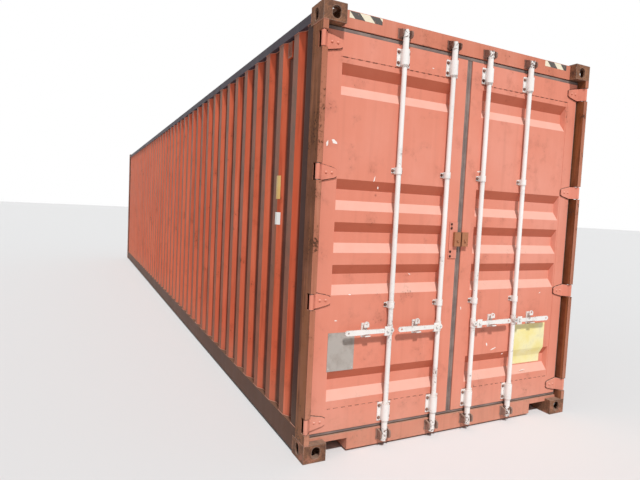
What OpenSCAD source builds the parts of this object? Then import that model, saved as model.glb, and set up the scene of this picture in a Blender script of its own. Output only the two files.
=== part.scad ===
// Forty-foot high-cube steel shipping container with two hinged doors, four locking bars and four handles.
// Length runs along X with the door end at +X, width along Y, height along Z; the rest plane is z = 0.
// Millimetres throughout. Depths called "in" are measured inward from the door end plane.

/* [Body] */
// overall length over the corner fittings
body_length = 12192; // [6000:1:13800]
// overall width over the corner fittings
body_width = 2438; // [2200:1:2600]
// overall height over the corner fittings
body_height = 2896; // [2400:1:3000]

/* [Corner fittings] */
// fitting size along the length
fitting_length = 178; // [170:1:190]
// fitting size across the width
fitting_width = 162; // [150:1:170]
// fitting height
fitting_height = 118; // [118:1:130]
// length of the top and bottom slots
slot_length = 124; // [110:1:126]
// width of the top and bottom slots
slot_width = 63.5; // [56:0.5:66]
// distance of the slot centre from the end plane
slot_in_x = 103.5; // [100:0.5:106]
// distance of the slot centre from the side plane
slot_in_y = 89.5; // [88:0.5:92]
// thickness of the slotted face
slot_face = 28; // [20:1:32]
// thickness of the other fitting walls
fitting_wall = 14; // [8:1:16]

/* [Door end frame] */
// depth of the door outer face behind the door end plane
door_in = 58; // [56:1:62]
// depth of the step that narrows the doorway behind the doors
stop_in = 114; // [112:1:120]
// rear post side plate length
post_length = 140; // [130:1:145]
// post plate thickness
post_plate = 6; // [4:0.5:8]
// width of the rear flange of the post
post_flange = 39; // [32:1:40]
// distance of the doorway edge from the side plane
opening_s = 49; // [47:0.5:52]
// distance of the doorway top below the roof plane
header_drop = 144; // [140:1:160]
// depth of the header and the sill along the length
frame_depth = 120; // [110:1:130]
// plate thickness of header and sill
frame_plate = 4; // [3:0.5:6]
// lower edge of the sill
sill_low = 15; // [12:1:20]
// upper edge of the sill face
sill_high = 134; // [130:1:140]
// top of the open notches at the sill ends
notch_top = 95; // [85:1:105]
// distance of the inner end of a notch from the side plane
notch_reach = 347; // [320:1:360]

/* [Floor and base] */
// top of the floor above the ground
floor_top = 167; // [165:1:169]
// floor board thickness
floor_board = 28; // [24:1:28]
// underside of the cross members above the ground
base_low = 17; // [14:1:20]
// distance between cross members
cross_pitch = 300; // [280:5:340]
// top of the front sill
front_sill_top = 150; // [140:1:160]
// length of the tunnel at the front
tunnel_length = 3315; // [3100:5:3500]
// width of the tunnel
tunnel_width = 1029; // [1000:1:1040]
// height of the tunnel
tunnel_height = 119; // [110:1:119]

/* [Walls and roof] */
// side wall sheet thickness
wall_sheet = 1.6; // [1.2:0.1:2.5]
// depth of the side wall corrugation
wall_depth = 36; // [30:1:38]
// pitch of the side wall corrugation
wall_pitch = 278; // [260:1:300]
// outer flat of the side wall corrugation
wall_flat = 84; // [70:1:90]
// length of each slope of the side wall corrugation
wall_slope = 60; // [50:1:68]
// depth of the front wall corrugation
front_depth = 45; // [40:1:46]
// pitch of the front wall corrugation
front_pitch = 250; // [230:1:270]
// roof sheet thickness
roof_sheet = 2; // [1.5:0.1:3]
// height of the raised roof ribs
rib_height = 20; // [14:1:22]
// pitch of the roof ribs
rib_pitch = 209; // [190:1:230]

/* [Doors] */
// distance of the leaf top below the doorway top
leaf_drop = 4; // [0:1:8]
// gap between the two leaves
leaf_gap = 48; // [40:1:56]
// distance of the leaf hinge edge from the side plane
leaf_side = 62; // [60:1:66]
// thickness of a door leaf
leaf_thick = 50; // [46:1:52]
// width of the upright door members
upright_width = 100; // [80:1:110]
// height of the cross members of a door
rail_height = 151; // [140:1:170]
// depth of the pressed door troughs
trough_depth = 36; // [20:1:40]
// height of a pressed door trough over its slopes
trough_height = 200; // [190:1:210]
// flat bottom of a pressed door trough
trough_flat = 72; // [60:1:90]
// door panel sheet thickness
panel_sheet = 2; // [1.5:0.1:3]

/* [Hinges] */
// distance of the hinge pin axis from the side and from the door end plane
pin_in = 15; // [14:0.5:16]
// hinge pin diameter
pin_d = 14; // [10:0.5:16]
// outer diameter of the hinge knuckle
knuckle_d = 28; // [24:1:30]
// height of the hinge blade at the knuckle
blade_height = 96; // [80:1:110]
// height of the hinge blade at its tip
blade_tip = 60; // [50:1:70]
// thickness of the hinge blade
blade_thick = 10; // [8:0.5:12]

/* [Locking gear] */
// locking bar diameter
bar_d = 34; // [30:0.5:36]
// wall of the locking bar tube
bar_wall = 3.2; // [2.5:0.1:5]
// locking bar sleeve diameter at the ends
sleeve_d = 42; // [38:0.5:43]
// depth of the bar axis behind the door end plane
bar_in = 33; // [31:0.5:34]
// distance of the outer bar from the side plane
bar_outer_in = 631; // [610:1:660]
// distance of the inner bar from the middle of the doors
bar_inner = 168; // [160:1:190]
// running clearance between a bar or pin and its bore, on the radius
run_gap = 0.05; // [0.02:0.01:0.1]
// largest radius of the cam at the bar ends
cam_reach = 24; // [22:0.5:25]
// gap between the tip of an inner handle and the axis of the outer bar
handle_gap = 55; // [45:1:70]
// height of a handle
handle_height = 36; // [28:1:40]
// height of the handles above the ground
handle_z = 828; // [800:1:860]
// height of the lower guides above the handles
guide_rise = 170; // [150:1:250]
// distance of the upper guides below the leaf top
guide_drop = 836; // [780:1:900]

/* [Hidden] */
$fn = 64;
hl = body_length / 2;
hw = body_width / 2;
header_low = body_height - header_drop;
leaf_low = floor_top - 4;
leaf_top = header_low - leaf_drop;
leaf_mid = (leaf_low + leaf_top) / 2;
leaf_free = leaf_gap / 2;
leaf_edge = hw - leaf_side;
leaf_back = door_in + leaf_thick;
panel_in = door_in + 2;
panel_out_y = leaf_edge - upright_width;
panel_in_y = leaf_free + upright_width;
panel_low = leaf_low + rail_height;
panel_top = leaf_top - rail_height;
trough_mid = [leaf_top - 289, leaf_mid + 274.5, leaf_mid - 3.5, leaf_mid - 281.5, leaf_low + 304];
hinge_z = [leaf_low + 77, leaf_mid - 410.5, leaf_mid + 407.5, leaf_top - 80];
hinge_slot = blade_height / 2 + 5;
pin_x = hl - pin_in;
pin_y = hw - pin_in;
rail_low = base_low;
rail_top = 179;
rail_out = hw - 2;
rail_web = 4.5;
wall_out = hw - 7;
top_rail_low = body_height - 91;
top_rail_top = body_height - 31;
post_low = fitting_height;
post_high = body_height - fitting_height;
cam_low_z = sill_low + 30;
cam_high_z = header_low + 88;
guide_z = [handle_z + guide_rise, leaf_top - guide_drop];
bar_outer = hw - bar_outer_in;
handle_length = bar_outer - bar_inner - handle_gap;
catch_y = handle_length - 173;
lock_low = leaf_mid - 139.5;
front_half = hw - 95;
roof_half = hw - 29;
notch_in_y = hw - notch_reach;
sill_back = door_in + frame_depth + 20;
board_count = 10;
board_in = 70;
board_pitch = (body_length - board_in - sill_back) / board_count;

// Small helpers

module box(x0, x1, y0, y1, z0, z1) {
  translate([x0, y0, z0])
    cube([x1 - x0, y1 - y0, z1 - z0]);
}

// a box given by depth behind the door end plane
module inbox(a0, a1, y0, y1, z0, z1) {
  box(hl - a1, hl - a0, y0, y1, z0, z1);
}

module both_sides() {
  children();
  mirror([0, 1, 0])
    children();
}

module both_ends() {
  children();
  mirror([1, 0, 0])
    children();
}

// a plan section given as depth in from the end and distance in from the side, drawn at the +Y side
module upright(z0, z1) {
  translate([hl, hw, z0])
    mirror([1, 0, 0])
      mirror([0, 1, 0])
        linear_extrude(z1 - z0)
          children();
}

// a section in depth and height, drawn across the width
module across(y0, y1) {
  translate([hl, y1, 0])
    mirror([1, 0, 0])
      rotate([90, 0, 0])
        linear_extrude(y1 - y0)
          children();
}

// Corner fittings

module slot_shape() {
  for (x = [-1, 1])
    translate([x * (slot_length - slot_width) / 2, 0])
      circle(d = slot_width);
  square([slot_length - slot_width, slot_width], center = true);
}

module oval(w, h, r) {
  for (y = [-1, 1])
    for (z = [-1, 1])
      translate([y * (w / 2 - r), z * (h / 2 - r)])
        circle(r = r);
  square([w, h - 2 * r], center = true);
  square([w - 2 * r, h], center = true);
}

// one bottom fitting at the +X +Y corner
module fitting() {
  difference() {
    box(hl - fitting_length, hl, hw - fitting_width, hw, 0, fitting_height);
    box(hl - fitting_length + 9, hl - fitting_wall, hw - fitting_width + fitting_wall,
      hw - fitting_wall, slot_face, fitting_height - fitting_wall);
    translate([hl - slot_in_x, hw - slot_in_y, -1])
      linear_extrude(slot_face + 2)
        slot_shape();
    translate([hl + 1, hw - slot_in_y, fitting_height / 2 + 4])
      rotate([90, 0, -90])
        linear_extrude(fitting_wall + 2)
          oval(60, 78, 28);
    translate([hl - fitting_length / 2 - 12, hw + 1, fitting_height / 2 + 4])
      rotate([90, 0, 0])
        linear_extrude(fitting_wall + 2)
          oval(54, 78, 26);
  }
}

module bottom_corner_fittings() {
  color("#6b3f2c")
    both_ends() both_sides() fitting();
}

module top_corner_fittings() {
  color("#6b3f2c")
    translate([0, 0, body_height])
      mirror([0, 0, 1])
        both_ends() both_sides() fitting();
}

// Corner posts

module hinge_notches(depth) {
  for (z = hinge_z)
    translate([0, 0, z - hinge_slot])
      upright(0, 2 * hinge_slot)
        translate([-1, -1])
          square([depth + 1, 60]);
}

module hinge_lugs() {
  for (z = hinge_z)
    for (d = [-1, 1])
      difference() {
        translate([0, 0, z + d * (hinge_slot + 6) - 6])
          upright(0, 12)
            translate([post_plate, post_plate])
              square([52, 33 - post_plate]);
        translate([pin_x, pin_y, z + d * (hinge_slot + 6) - 7])
          cylinder(d = pin_d + 2 * run_gap, h = 14);
      }
}

module rear_post() {
  difference() {
    upright(post_low, post_high)
      polygon([[0, 0], [post_length, 0], [post_length, 43], [post_length - post_plate, 43],
        [post_length - post_plate, post_plate], [post_plate, post_plate],
        [post_plate, post_flange], [0, post_flange]]);
    hinge_notches(54);
  }
  hinge_lugs();
}

module rear_corner_posts() {
  color("#7a4431")
    both_sides() rear_post();
}

module rear_post_liners() {
  color("#7a4431")
    both_sides()
      difference() {
        upright(post_low, post_high)
          polygon([[post_plate, 33], [post_plate + 6, 33], [24, 36], [stop_in, 36], [stop_in + 6, 43],
            [frame_depth + door_in, 43], [frame_depth + door_in, opening_s], [stop_in, opening_s],
            [stop_in, 42], [24, 42], [post_plate, post_flange]]);
        hinge_notches(66);
      }
}

module front_post() {
  upright(post_low, post_high)
    difference() {
      polygon([[0, 0], [post_length, 0], [post_length, 49], [60, 49], [40, 95], [0, 95]]);
      polygon([[6, 6], [post_length - 6, 6], [post_length - 6, 43], [56, 43], [36, 89], [6, 89]]);
    }
}

module front_corner_posts() {
  color("#7a4431")
    mirror([1, 0, 0])
      both_sides() front_post();
}

// Door header, door sill and keepers

module end_fitting_space() {
  both_sides() {
    inbox(-1, fitting_length, hw - fitting_width, hw + 1, post_high, body_height + 1);
    inbox(-1, fitting_length, hw - fitting_width, hw + 1, -1, post_low);
  }
}

module header_section(t) {
  polygon([[door_in + t, header_low + 26 + t], [stop_in + t, header_low + 26 + t],
    [stop_in + t, header_low + t], [door_in + frame_depth - t, header_low + t],
    [door_in + frame_depth - t, body_height - 9 - t], [door_in + t, body_height - 9 - t]]);
}

module door_header() {
  color("#8a4632")
    difference() {
      across(-hw + 42, hw - 42)
        difference() {
          header_section(0);
          header_section(frame_plate);
        }
      end_fitting_space();
      both_sides()
        inbox(stop_in - 1, 200, hw - opening_s, hw, header_low - 50, body_height + 4);
      both_sides()
        inbox(door_in - 1, door_in + frame_plate + 1, hw - 348, hw - 330, body_height - 35,
          body_height - 28);
    }
}

module sill_section(t) {
  polygon([[door_in + t, sill_low + t], [door_in + t, sill_high - t], [stop_in + t, sill_high + 3 - t],
    [stop_in + t, floor_top - t], [sill_back - t, floor_top - t], [sill_back - t, sill_low + t]]);
}

module sill_notches(t) {
  both_sides()
    inbox(door_in - 1, sill_back + 50, notch_in_y - t, hw - fitting_width + t + 1, -1, notch_top + t);
}

module door_sill() {
  color("#8a4632")
    difference() {
      union() {
        difference() {
          across(-hw + 42, hw - 42)
            sill_section(0);
          sill_notches(0);
        }
      }
      difference() {
        across(-hw + 41, hw - 41)
          sill_section(frame_plate);
        sill_notches(frame_plate);
      }
      end_fitting_space();
      both_sides()
        inbox(stop_in - 1, 250, hw - opening_s, hw, 100, 200);
      both_sides()
        inbox(fitting_length - 1, 250, hw - 52, hw, -1, 200);
    }
}

module keeper(z0, z1) {
  for (y = [bar_outer, bar_inner]) {
    translate([0, y, 0]) {
      inbox(door_in - 3, door_in, -52, 52, z0, z1);
      for (d = [-1, 1])
        across(d * 37 - 6, d * 37 + 6)
          polygon([[door_in - 3, z0 + 2], [door_in - 3, z1 - 2], [16, z1 - 12], [10, z1 - 24],
            [10, z0 + 24], [16, z0 + 12]]);
    }
  }
}

module cam_keepers() {
  color("#c9c4bb")
    both_sides() {
      keeper(header_low + 31, header_low + 98);
      keeper(sill_low + 33, sill_high - 9);
    }
}

// Base

module rail_section() {
  polygon([[0, 0], [30, 0], [30, rail_web], [rail_web, rail_web],
    [rail_web, rail_top - rail_low - rail_web], [48, rail_top - rail_low - rail_web],
    [48, rail_top - rail_low], [0, rail_top - rail_low]]);
}

module fitting_space() {
  both_ends() end_fitting_space();
}

module bottom_side_rails() {
  color("#a8593f")
    difference() {
      both_sides()
        translate([-hl + post_length, rail_out, rail_low])
          rotate([90, 0, 90])
            linear_extrude(body_length - 2 * post_length)
              mirror([1, 0])
                rail_section();
      fitting_space();
      both_sides()
        inbox(post_length - 1, fitting_length + 20, hw - 60, hw - 30, 160, 190);
    }
}

module cross_section() {
  polygon([[0, 0], [45, 0], [45, 4], [4, 4], [4, floor_top - floor_board - base_low - 4],
    [45, floor_top - floor_board - base_low - 4], [45, floor_top - floor_board - base_low],
    [0, floor_top - floor_board - base_low]]);
}

module cross_member(y0, y1) {
  translate([0, y1, base_low])
    rotate([90, 0, 0])
      linear_extrude(y1 - y0)
        cross_section();
}

tunnel_end = -hl + tunnel_length;
cross_count = floor((hl - sill_back - 120 - tunnel_end) / cross_pitch);
stub_count = floor((tunnel_length - 320) / cross_pitch);
// whole members behind the tunnel, the first with the tunnel's end plate, and stubs beside it
module crossmembers() {
  color("#5c4438")
    difference() {
      union() {
        box(tunnel_end + 16, tunnel_end + 20, -tunnel_width / 2 - 4, tunnel_width / 2 + 4,
          base_low, tunnel_height);
        for (i = [0:cross_count])
          translate([tunnel_end + 20 + i * cross_pitch, 0, 0])
            cross_member(-rail_out + rail_web, rail_out - rail_web);
        for (i = [1:stub_count])
          translate([tunnel_end + 20 - i * cross_pitch, 0, 0])
            both_sides()
              cross_member(tunnel_width / 2 + 4, rail_out - rail_web);
      }
      both_sides()
        box(-hl, hl, rail_out - 30, hw, 0, rail_low + rail_web);
    }
}

// top plate with its bows, and the bridge that joins the halves of the front sill over the tunnel
module gooseneck_tunnel() {
  color("#5c4438") {
    difference() {
      box(-hl + 68, tunnel_end + 20, -tunnel_width / 2 - 4, tunnel_width / 2 + 4,
        tunnel_height, floor_top - floor_board);
      for (i = [0:10])
        box(-hl + 74 + i * 296, -hl + 74 + i * 296 + 282, -tunnel_width / 2 - 5,
          tunnel_width / 2 + 5, tunnel_height + 4, floor_top);
    }
    difference() {
      box(-hl + 6, -hl + 68, -tunnel_width / 2, tunnel_width / 2, tunnel_height, front_sill_top);
      box(-hl + 10, -hl + 64, -tunnel_width / 2 - 1, tunnel_width / 2 + 1,
        tunnel_height - 1, front_sill_top - 4);
    }
  }
}

module gooseneck_side_walls() {
  color("#5c4438")
    both_sides()
      box(-hl + 68, tunnel_end + 16, tunnel_width / 2, tunnel_width / 2 + 4, base_low, tunnel_height);
}

module floor_boards() {
  color("#7c5a3c")
    for (i = [0:board_count - 1])
      translate([-hl + board_in + i * board_pitch, 0, 0])
        box(0, board_pitch - 2.8, -hw + 55, hw - 55, floor_top - floor_board, floor_top);
}

module floor_side_angles() {
  color("#7a4431")
    both_sides()
      difference() {
        box(-hl + 150, hl - 200, hw - 53, hw - 19, floor_top - floor_board, rail_top);
        box(-hl, hl, hw - 50, hw - 9, floor_top - floor_board + 4, rail_top + 11);
      }
}

// Side walls, front wall and roof

// outer line of the side wall, from the door end forward
wall_count = floor((body_length - 516) / wall_pitch + 0.001);
wall_start = body_length - post_length - wall_count * wall_pitch;
wall_line = concat(
  [[hl - post_length, 0], [hl - wall_start + 142, 0],
    [hl - wall_start + 142 - wall_slope, wall_depth], [hl - wall_start + wall_slope, wall_depth]],
  [for (i = [0:wall_count - 1])
    let (x = hl - wall_start - i * wall_pitch)
      each [[x, 0], [x - wall_flat, 0], [x - wall_flat - wall_slope, wall_depth],
        [x - wall_pitch + wall_slope, wall_depth]]],
  [[-hl + post_length, 0]]);
module side_wall() {
  difference() {
    translate([0, wall_out, rail_top])
      linear_extrude(top_rail_low - rail_top)
        mirror([0, 1])
          polygon(concat(wall_line,
            [for (i = [len(wall_line) - 1:-1:0]) wall_line[i] + [0, wall_sheet]]));
    fitting_space();
  }
}

module right_side_wall() {
  color("#b9502f")
    side_wall();
}

module left_side_wall() {
  color("#b9502f")
    mirror([0, 1, 0])
      side_wall();
}

front_count = floor((front_half - 92) / front_pitch);
front_line = concat([[-front_half, 0]],
  [for (i = [-front_count:front_count])
    let (y = i * front_pitch)
      each [[y - 92, 0], [y - 55, front_depth], [y + 55, front_depth], [y + 92, 0]]],
  [[front_half, 0]]);
module front_wall() {
  color("#b9502f")
    difference() {
      translate([-hl + 12, 0, front_sill_top])
        linear_extrude(body_height - 106 - front_sill_top)
          polygon(concat(
            [for (p = front_line) [p[1], p[0]]],
            [for (i = [len(front_line) - 1:-1:0]) [front_line[i][1] + 2, front_line[i][0]]]));
      fitting_space();
    }
}

// box beam with a plate behind it that carries the edge of the roof between the fittings
module front_header() {
  color("#8a4632")
    mirror([1, 0, 0])
      difference() {
        union() {
          inbox(6, 70, -front_half, front_half, body_height - 106, body_height - 8);
          inbox(68, fitting_length + 20, -hw + fitting_width, hw - fitting_width,
            top_rail_top - 4, top_rail_top);
        }
        inbox(10, 66, -front_half - 6, front_half + 6, body_height - 102, body_height - 12);
        end_fitting_space();
      }
}

// one half on each side of the tunnel, closed by a plate at its inner end
module front_sill() {
  color("#8a4632")
    mirror([1, 0, 0])
      both_sides()
        difference() {
          inbox(6, 68, tunnel_width / 2, front_half, base_low, front_sill_top);
          inbox(10, 64, tunnel_width / 2 + 4, front_half + 6, base_low + 4, front_sill_top - 4);
          end_fitting_space();
        }
}

module top_side_rails() {
  color("#8a4632")
    both_sides()
      difference() {
        box(-hl + fitting_length, hl - fitting_length, rail_out - 60, rail_out,
          top_rail_low, top_rail_top);
        box(-hl, hl, rail_out - 57, rail_out - 3, top_rail_low + 3, top_rail_top - 3);
      }
}

roof_end = hl - fitting_length;
rib_count = floor((2 * roof_end - 700) / rib_pitch);
rib_line = concat([[-roof_end, 0]],
  [for (i = [0:rib_count - 1])
    let (x = (i - (rib_count - 1) / 2) * rib_pitch)
      each [[x - 70, 0], [x - 52, rib_height], [x + 52, rib_height], [x + 70, 0]]],
  [[roof_end, 0]]);
module roof_mass() {
  intersection() {
    translate([0, roof_half, 0])
      rotate([90, 0, 0])
        linear_extrude(2 * roof_half)
          polygon(concat([[-roof_end, -40]], rib_line, [[roof_end, -40]]));
    translate([-roof_end - 1, 0, 0])
      rotate([90, 0, 90])
        linear_extrude(2 * roof_end + 2)
          polygon([[-roof_half, -50], [-roof_half, 0], [-roof_half + 86, 0],
            [-roof_half + 120, rib_height + 1], [roof_half - 120, rib_height + 1],
            [roof_half - 86, 0], [roof_half, 0], [roof_half, -50]]);
  }
}

module roof_sheet_panels() {
  color("#b9502f")
    translate([0, 0, top_rail_top + roof_sheet])
      difference() {
        roof_mass();
        intersection() {
          translate([0, 0, -roof_sheet])
            roof_mass();
          box(-hl, hl, -hw, hw, -roof_sheet - 30, 60);
        }
        box(-hl, hl, -hw, hw, -60, -roof_sheet);
      }
}

module roof_doubler_plates() {
  color("#8a4632")
    both_ends() both_sides()
      box(roof_end - 300, roof_end, roof_half - 270, roof_half, top_rail_top + roof_sheet,
        top_rail_top + roof_sheet + 4);
}

vent_x = hl - wall_start - wall_flat - wall_slope - (wall_pitch - wall_flat - 2 * wall_slope) / 2;
vent_back = wall_out - wall_depth;
vent_z = top_rail_low - 68;
module side_vents() {
  color("#b9502f") {
    translate([vent_x, 0, vent_z])
      mirror([0, 1, 0])
        vent();
    translate([vent_x - (wall_count - 2) * wall_pitch, 0, vent_z])
      vent();
  }
}

// ventilator cover on an inner flat of the wall, with louvre slots
module vent() {
  difference() {
    box(-35, 35, vent_back, vent_back + 24, -54, 54);
    for (z = [-36:12:36])
      box(-27, 27, vent_back + 19, vent_back + 30, z - 3, z + 3);
  }
}

module hinge_pins() {
  color("#8d8a84")
    both_sides()
      for (z = hinge_z) {
        translate([pin_x, pin_y, z - hinge_slot - 14])
          cylinder(d = pin_d, h = 2 * hinge_slot + 27);
        translate([pin_x, pin_y, z + hinge_slot + 12])
          cylinder(d = pin_d + 3, h = 4);
      }
}

// Door leaf, drawn as the right leaf on the +Y side

module door_frame() {
  difference() {
    inbox(door_in, leaf_back, leaf_free, leaf_edge, leaf_low, leaf_top);
    inbox(door_in - 1, leaf_back + 1, panel_in_y, panel_out_y, panel_low, panel_top);
    for (z = [leaf_low, panel_top])
      inbox(door_in + 4, leaf_back + 1, panel_in_y - 1, panel_out_y + 1, z + 4, z + rail_height - 4);
    for (y = [leaf_free, panel_out_y])
      inbox(door_in + 3.2, leaf_back - 3.2, y + 3.2, y + upright_width - 3.2,
        leaf_low - 1, leaf_top + 1);
  }
}

module trough_mass(t) {
  intersection() {
    across(panel_in_y, panel_out_y)
      union() {
        for (z = trough_mid)
          polygon([[-1, z + trough_height / 2 + t], [0, z + trough_height / 2 + t],
            [trough_depth + t, z + trough_flat / 2 + t], [trough_depth + t, z - trough_flat / 2 - t],
            [0, z - trough_height / 2 - t], [-1, z - trough_height / 2 - t]]);
      }
    translate([hl, 0, panel_low])
      mirror([1, 0, 0])
        linear_extrude(panel_top - panel_low)
          polygon([[-1, panel_in_y + 13 - t], [0, panel_in_y + 13 - t],
            [trough_depth + t, panel_in_y + 27 - t], [trough_depth + t, panel_out_y - 27 + t],
            [0, panel_out_y - 13 + t], [-1, panel_out_y - 13 + t]]);
  }
}

module door_panel() {
  translate([-panel_in, 0, 0])
    difference() {
      union() {
        inbox(0, panel_sheet, panel_in_y, panel_out_y, panel_low, panel_top);
        intersection() {
          trough_mass(panel_sheet);
          inbox(0, 60, 0, hw, 0, body_height);
        }
      }
      trough_mass(0);
    }
}

// bulb seal round the edge of the leaf, set back from its face, with a groove on its outside
module door_gasket() {
  difference() {
    inbox(door_in + 12, leaf_back - 6, leaf_free - 20, hw - 48, leaf_low - 21, leaf_top + 25);
    inbox(door_in, leaf_back, leaf_free, leaf_edge, leaf_low, leaf_top);
    inbox(door_in + 20, door_in + 32, -hw, hw, leaf_low - 22, leaf_low - 16);
    inbox(door_in + 20, door_in + 32, -hw, hw, leaf_top + 20, leaf_top + 26);
    inbox(door_in + 20, door_in + 32, -hw, leaf_free - 15, 0, body_height);
    inbox(door_in + 20, door_in + 32, hw - 53, hw, 0, body_height);
  }
}

// hinge blade with knuckle, cranked down on to the leaf face
module hinge_blade(z) {
  translate([0, 0, z])
    difference() {
      union() {
        translate([pin_x, pin_y, -blade_height / 2])
          cylinder(d = knuckle_d, h = blade_height);
        intersection() {
          upright(-blade_height / 2, blade_height / 2)
            polygon([[pin_in - 6, pin_in], [pin_in - 6, pin_in + 12], [door_in - blade_thick, 59],
              [door_in - blade_thick, 168], [door_in, 168], [door_in, 56], [pin_in + 6, pin_in + 9],
              [pin_in + 6, pin_in]]);
          translate([0, hw, 0])
            rotate([90, 0, 90])
              linear_extrude(body_length)
                polygon([[0, blade_height / 2], [-70, blade_height / 2], [-150, blade_tip / 2],
                  [-168, blade_tip / 2 - 10], [-168, -blade_tip / 2 + 10], [-150, -blade_tip / 2],
                  [-70, -blade_height / 2], [0, -blade_height / 2]]);
        }
      }
      translate([pin_x, pin_y, -100])
        cylinder(d = pin_d + 2 * run_gap, h = 200);
      for (d = [90, 132])
        translate([hl - door_in - 1, hw - d, 0])
          rotate([0, 90, 0])
            cylinder(d = 12, h = 20);
    }
}

module hinge_blades() {
  for (z = hinge_z)
    hinge_blade(z);
}

// bearing bracket: base plate, housing round the bar and two bolting flanges
module bar_bracket(z0, z1, base, bore) {
  difference() {
    union() {
      inbox(base - 6, base, -52, 52, z0, z1);
      inbox(bar_in, base, -bore / 2 - 7, bore / 2 + 7, z0 + 6, z1 - 6);
      intersection() {
        translate([hl - bar_in, 0, z0 + 6])
          cylinder(d = bore + 14, h = z1 - z0 - 12);
        inbox(0, base, -60, 60, z0, z1);
      }
    }
    translate([hl - bar_in, 0, z0 - 1])
      cylinder(d = bore + 2 * run_gap, h = z1 - z0 + 2);
    for (d = [-1, 1])
      for (z = [z0 + 22, z1 - 22])
        translate([hl - base - 1, d * 40, z])
          rotate([0, 90, 0])
            cylinder(d = 11, h = 20);
  }
}

// narrow guide in the middle of a bar: one strap and one bolt hole on each side
module bar_guide(z) {
  difference() {
    union() {
      inbox(panel_in - 5, panel_in, -43, 43, z - 17, z + 17);
      inbox(bar_in, panel_in, -bar_d / 2 - 5, bar_d / 2 + 5, z - 22, z + 22);
      translate([hl - bar_in, 0, z - 22])
        cylinder(d = bar_d + 10, h = 44);
    }
    translate([hl - bar_in, 0, z - 23])
      cylinder(d = bar_d + 2 * run_gap, h = 46);
    for (d = [-1, 1])
      translate([hl - panel_in - 1, d * 34, z])
        rotate([0, 90, 0])
          cylinder(d = 11, h = 20);
  }
}

module bar_brackets() {
  for (y = [bar_outer, bar_inner])
    translate([0, y, 0]) {
      bar_bracket(leaf_top - 144, leaf_top - 29, door_in, sleeve_d);
      bar_bracket(leaf_low + 19, leaf_low + 149, door_in, sleeve_d);
      for (z = guide_z)
        bar_guide(z);
    }
}

// handle catch: base plate, shelf under the handle, and an upright eye above it on a short neck
module handle_catch(d) {
  inbox(panel_in - 6, panel_in, d - 24, d + 24, handle_z - 46, handle_z + 52);
  inbox(3, panel_in - 5, d - 20, d + 20, handle_z - handle_height / 2 - 14,
    handle_z - handle_height / 2 - 6);
  across(d - 4, d + 4)
    polygon([[panel_in - 5, handle_z - 45], [panel_in - 5, handle_z - 26], [8, handle_z - 32],
      [8, handle_z - 36]]);
  inbox(30, panel_in - 5, d - 12, d + 12, handle_z + 30, handle_z + 42);
  difference() {
    union() {
      inbox(24, 31, d - 20, d + 20, handle_z + 26, handle_z + 46);
      translate([hl - 31, d, handle_z + 46])
        rotate([0, 90, 0])
          cylinder(r = 20, h = 7);
    }
    translate([hl - 40, d, handle_z + 50])
      rotate([0, 90, 0])
        cylinder(d = 18, h = 20);
  }
}

module handle_catches() {
  for (y = [bar_outer, bar_inner])
    handle_catch(y + catch_y);
}

// half of the middle lock box, a shell on the leaf edge that reaches over the gap
module lock_box_half() {
  difference() {
    inbox(door_in - 26, door_in, 6, 64, lock_low + 89, lock_low + 193);
    inbox(door_in - 22, door_in + 1, 0, 60, lock_low + 93, lock_low + 189);
  }
}

// backing plate beside the lock box, with worn holes
module lock_backing(holes) {
  difference() {
    inbox(door_in - 6, door_in, leaf_free, 98, lock_low, lock_low + 267);
    inbox(door_in - 7, door_in + 1, 0, 62, lock_low + 90, lock_low + 192);
    for (z = holes)
      translate([hl - door_in - 1, 80, lock_low + z])
        rotate([0, 90, 0])
          cylinder(d = 16, h = 40);
  }
}

// Locking bar with its cams, sleeves and hub, welded as one, at the +Y side of its own y
module bar_solid(y) {
  translate([hl - bar_in, y, 0])
    difference() {
      union() {
        translate([0, 0, cam_low_z + 20])
          cylinder(d = bar_d, h = cam_high_z - cam_low_z - 40);
        translate([0, 0, cam_low_z + 12])
          cylinder(d = sleeve_d, h = 260);
        translate([0, 0, cam_high_z - 240])
          cylinder(d = sleeve_d, h = 228);
        for (z = [cam_low_z, cam_high_z - 48])
          translate([0, 0, z])
            linear_extrude(48)
              intersection() {
                circle(r = cam_reach);
                union() {
                  circle(d = bar_d);
                  translate([-9, 0])
                    square([2 * cam_reach, 2 * cam_reach]);
                }
              }
        translate([0, 0, handle_z - 34])
          cylinder(d = sleeve_d, h = 68);
        translate([0, 0, handle_z])
          rotate([0, 90, 0])
            cylinder(d = 42, h = 21);
        translate([0, 0, handle_z])
          rotate([0, 90, 0])
            cylinder(d = pin_d, h = bar_in - 1.5);
      }
      translate([0, 0, cam_low_z - 1])
        cylinder(d = bar_d - 2 * bar_wall, h = handle_z - 60 - cam_low_z);
      translate([0, 0, handle_z + 60])
        cylinder(d = bar_d - 2 * bar_wall, h = cam_high_z - handle_z);
    }
}

// flat handle with a waisted grip, lying outward from its bar, at the +Y side
module handle_solid(y) {
  translate([hl - 11.5, y, handle_z])
    rotate([90, 0, 90])
      linear_extrude(8)
        difference() {
          union() {
            circle(d = 34);
            polygon([[0, -17], [60, -15], [handle_length - 165, -15],
              [handle_length - 125, -handle_height / 2],
              [handle_length - 12, -handle_height / 2], [handle_length, -8],
              [handle_length, 8], [handle_length - 12, handle_height / 2],
              [handle_length - 125, handle_height / 2], [handle_length - 165, 15], [60, 15], [0, 17]]);
          }
          circle(d = pin_d + 2 * run_gap);
          translate([handle_length - 26, 0])
            circle(d = 14);
        }
}

// Left door nodes

module left_door_frame() {
  color("#c85a3c")
    mirror([0, 1, 0])
      door_frame();
}

module left_door_panel() {
  color("#c85a3c")
    mirror([0, 1, 0])
      door_panel();
}

module left_door_gasket() {
  color("#8f8f8c")
    mirror([0, 1, 0])
      door_gasket();
}

module left_hinge_blades() {
  color("#c85a3c")
    mirror([0, 1, 0])
      hinge_blades();
}

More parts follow.
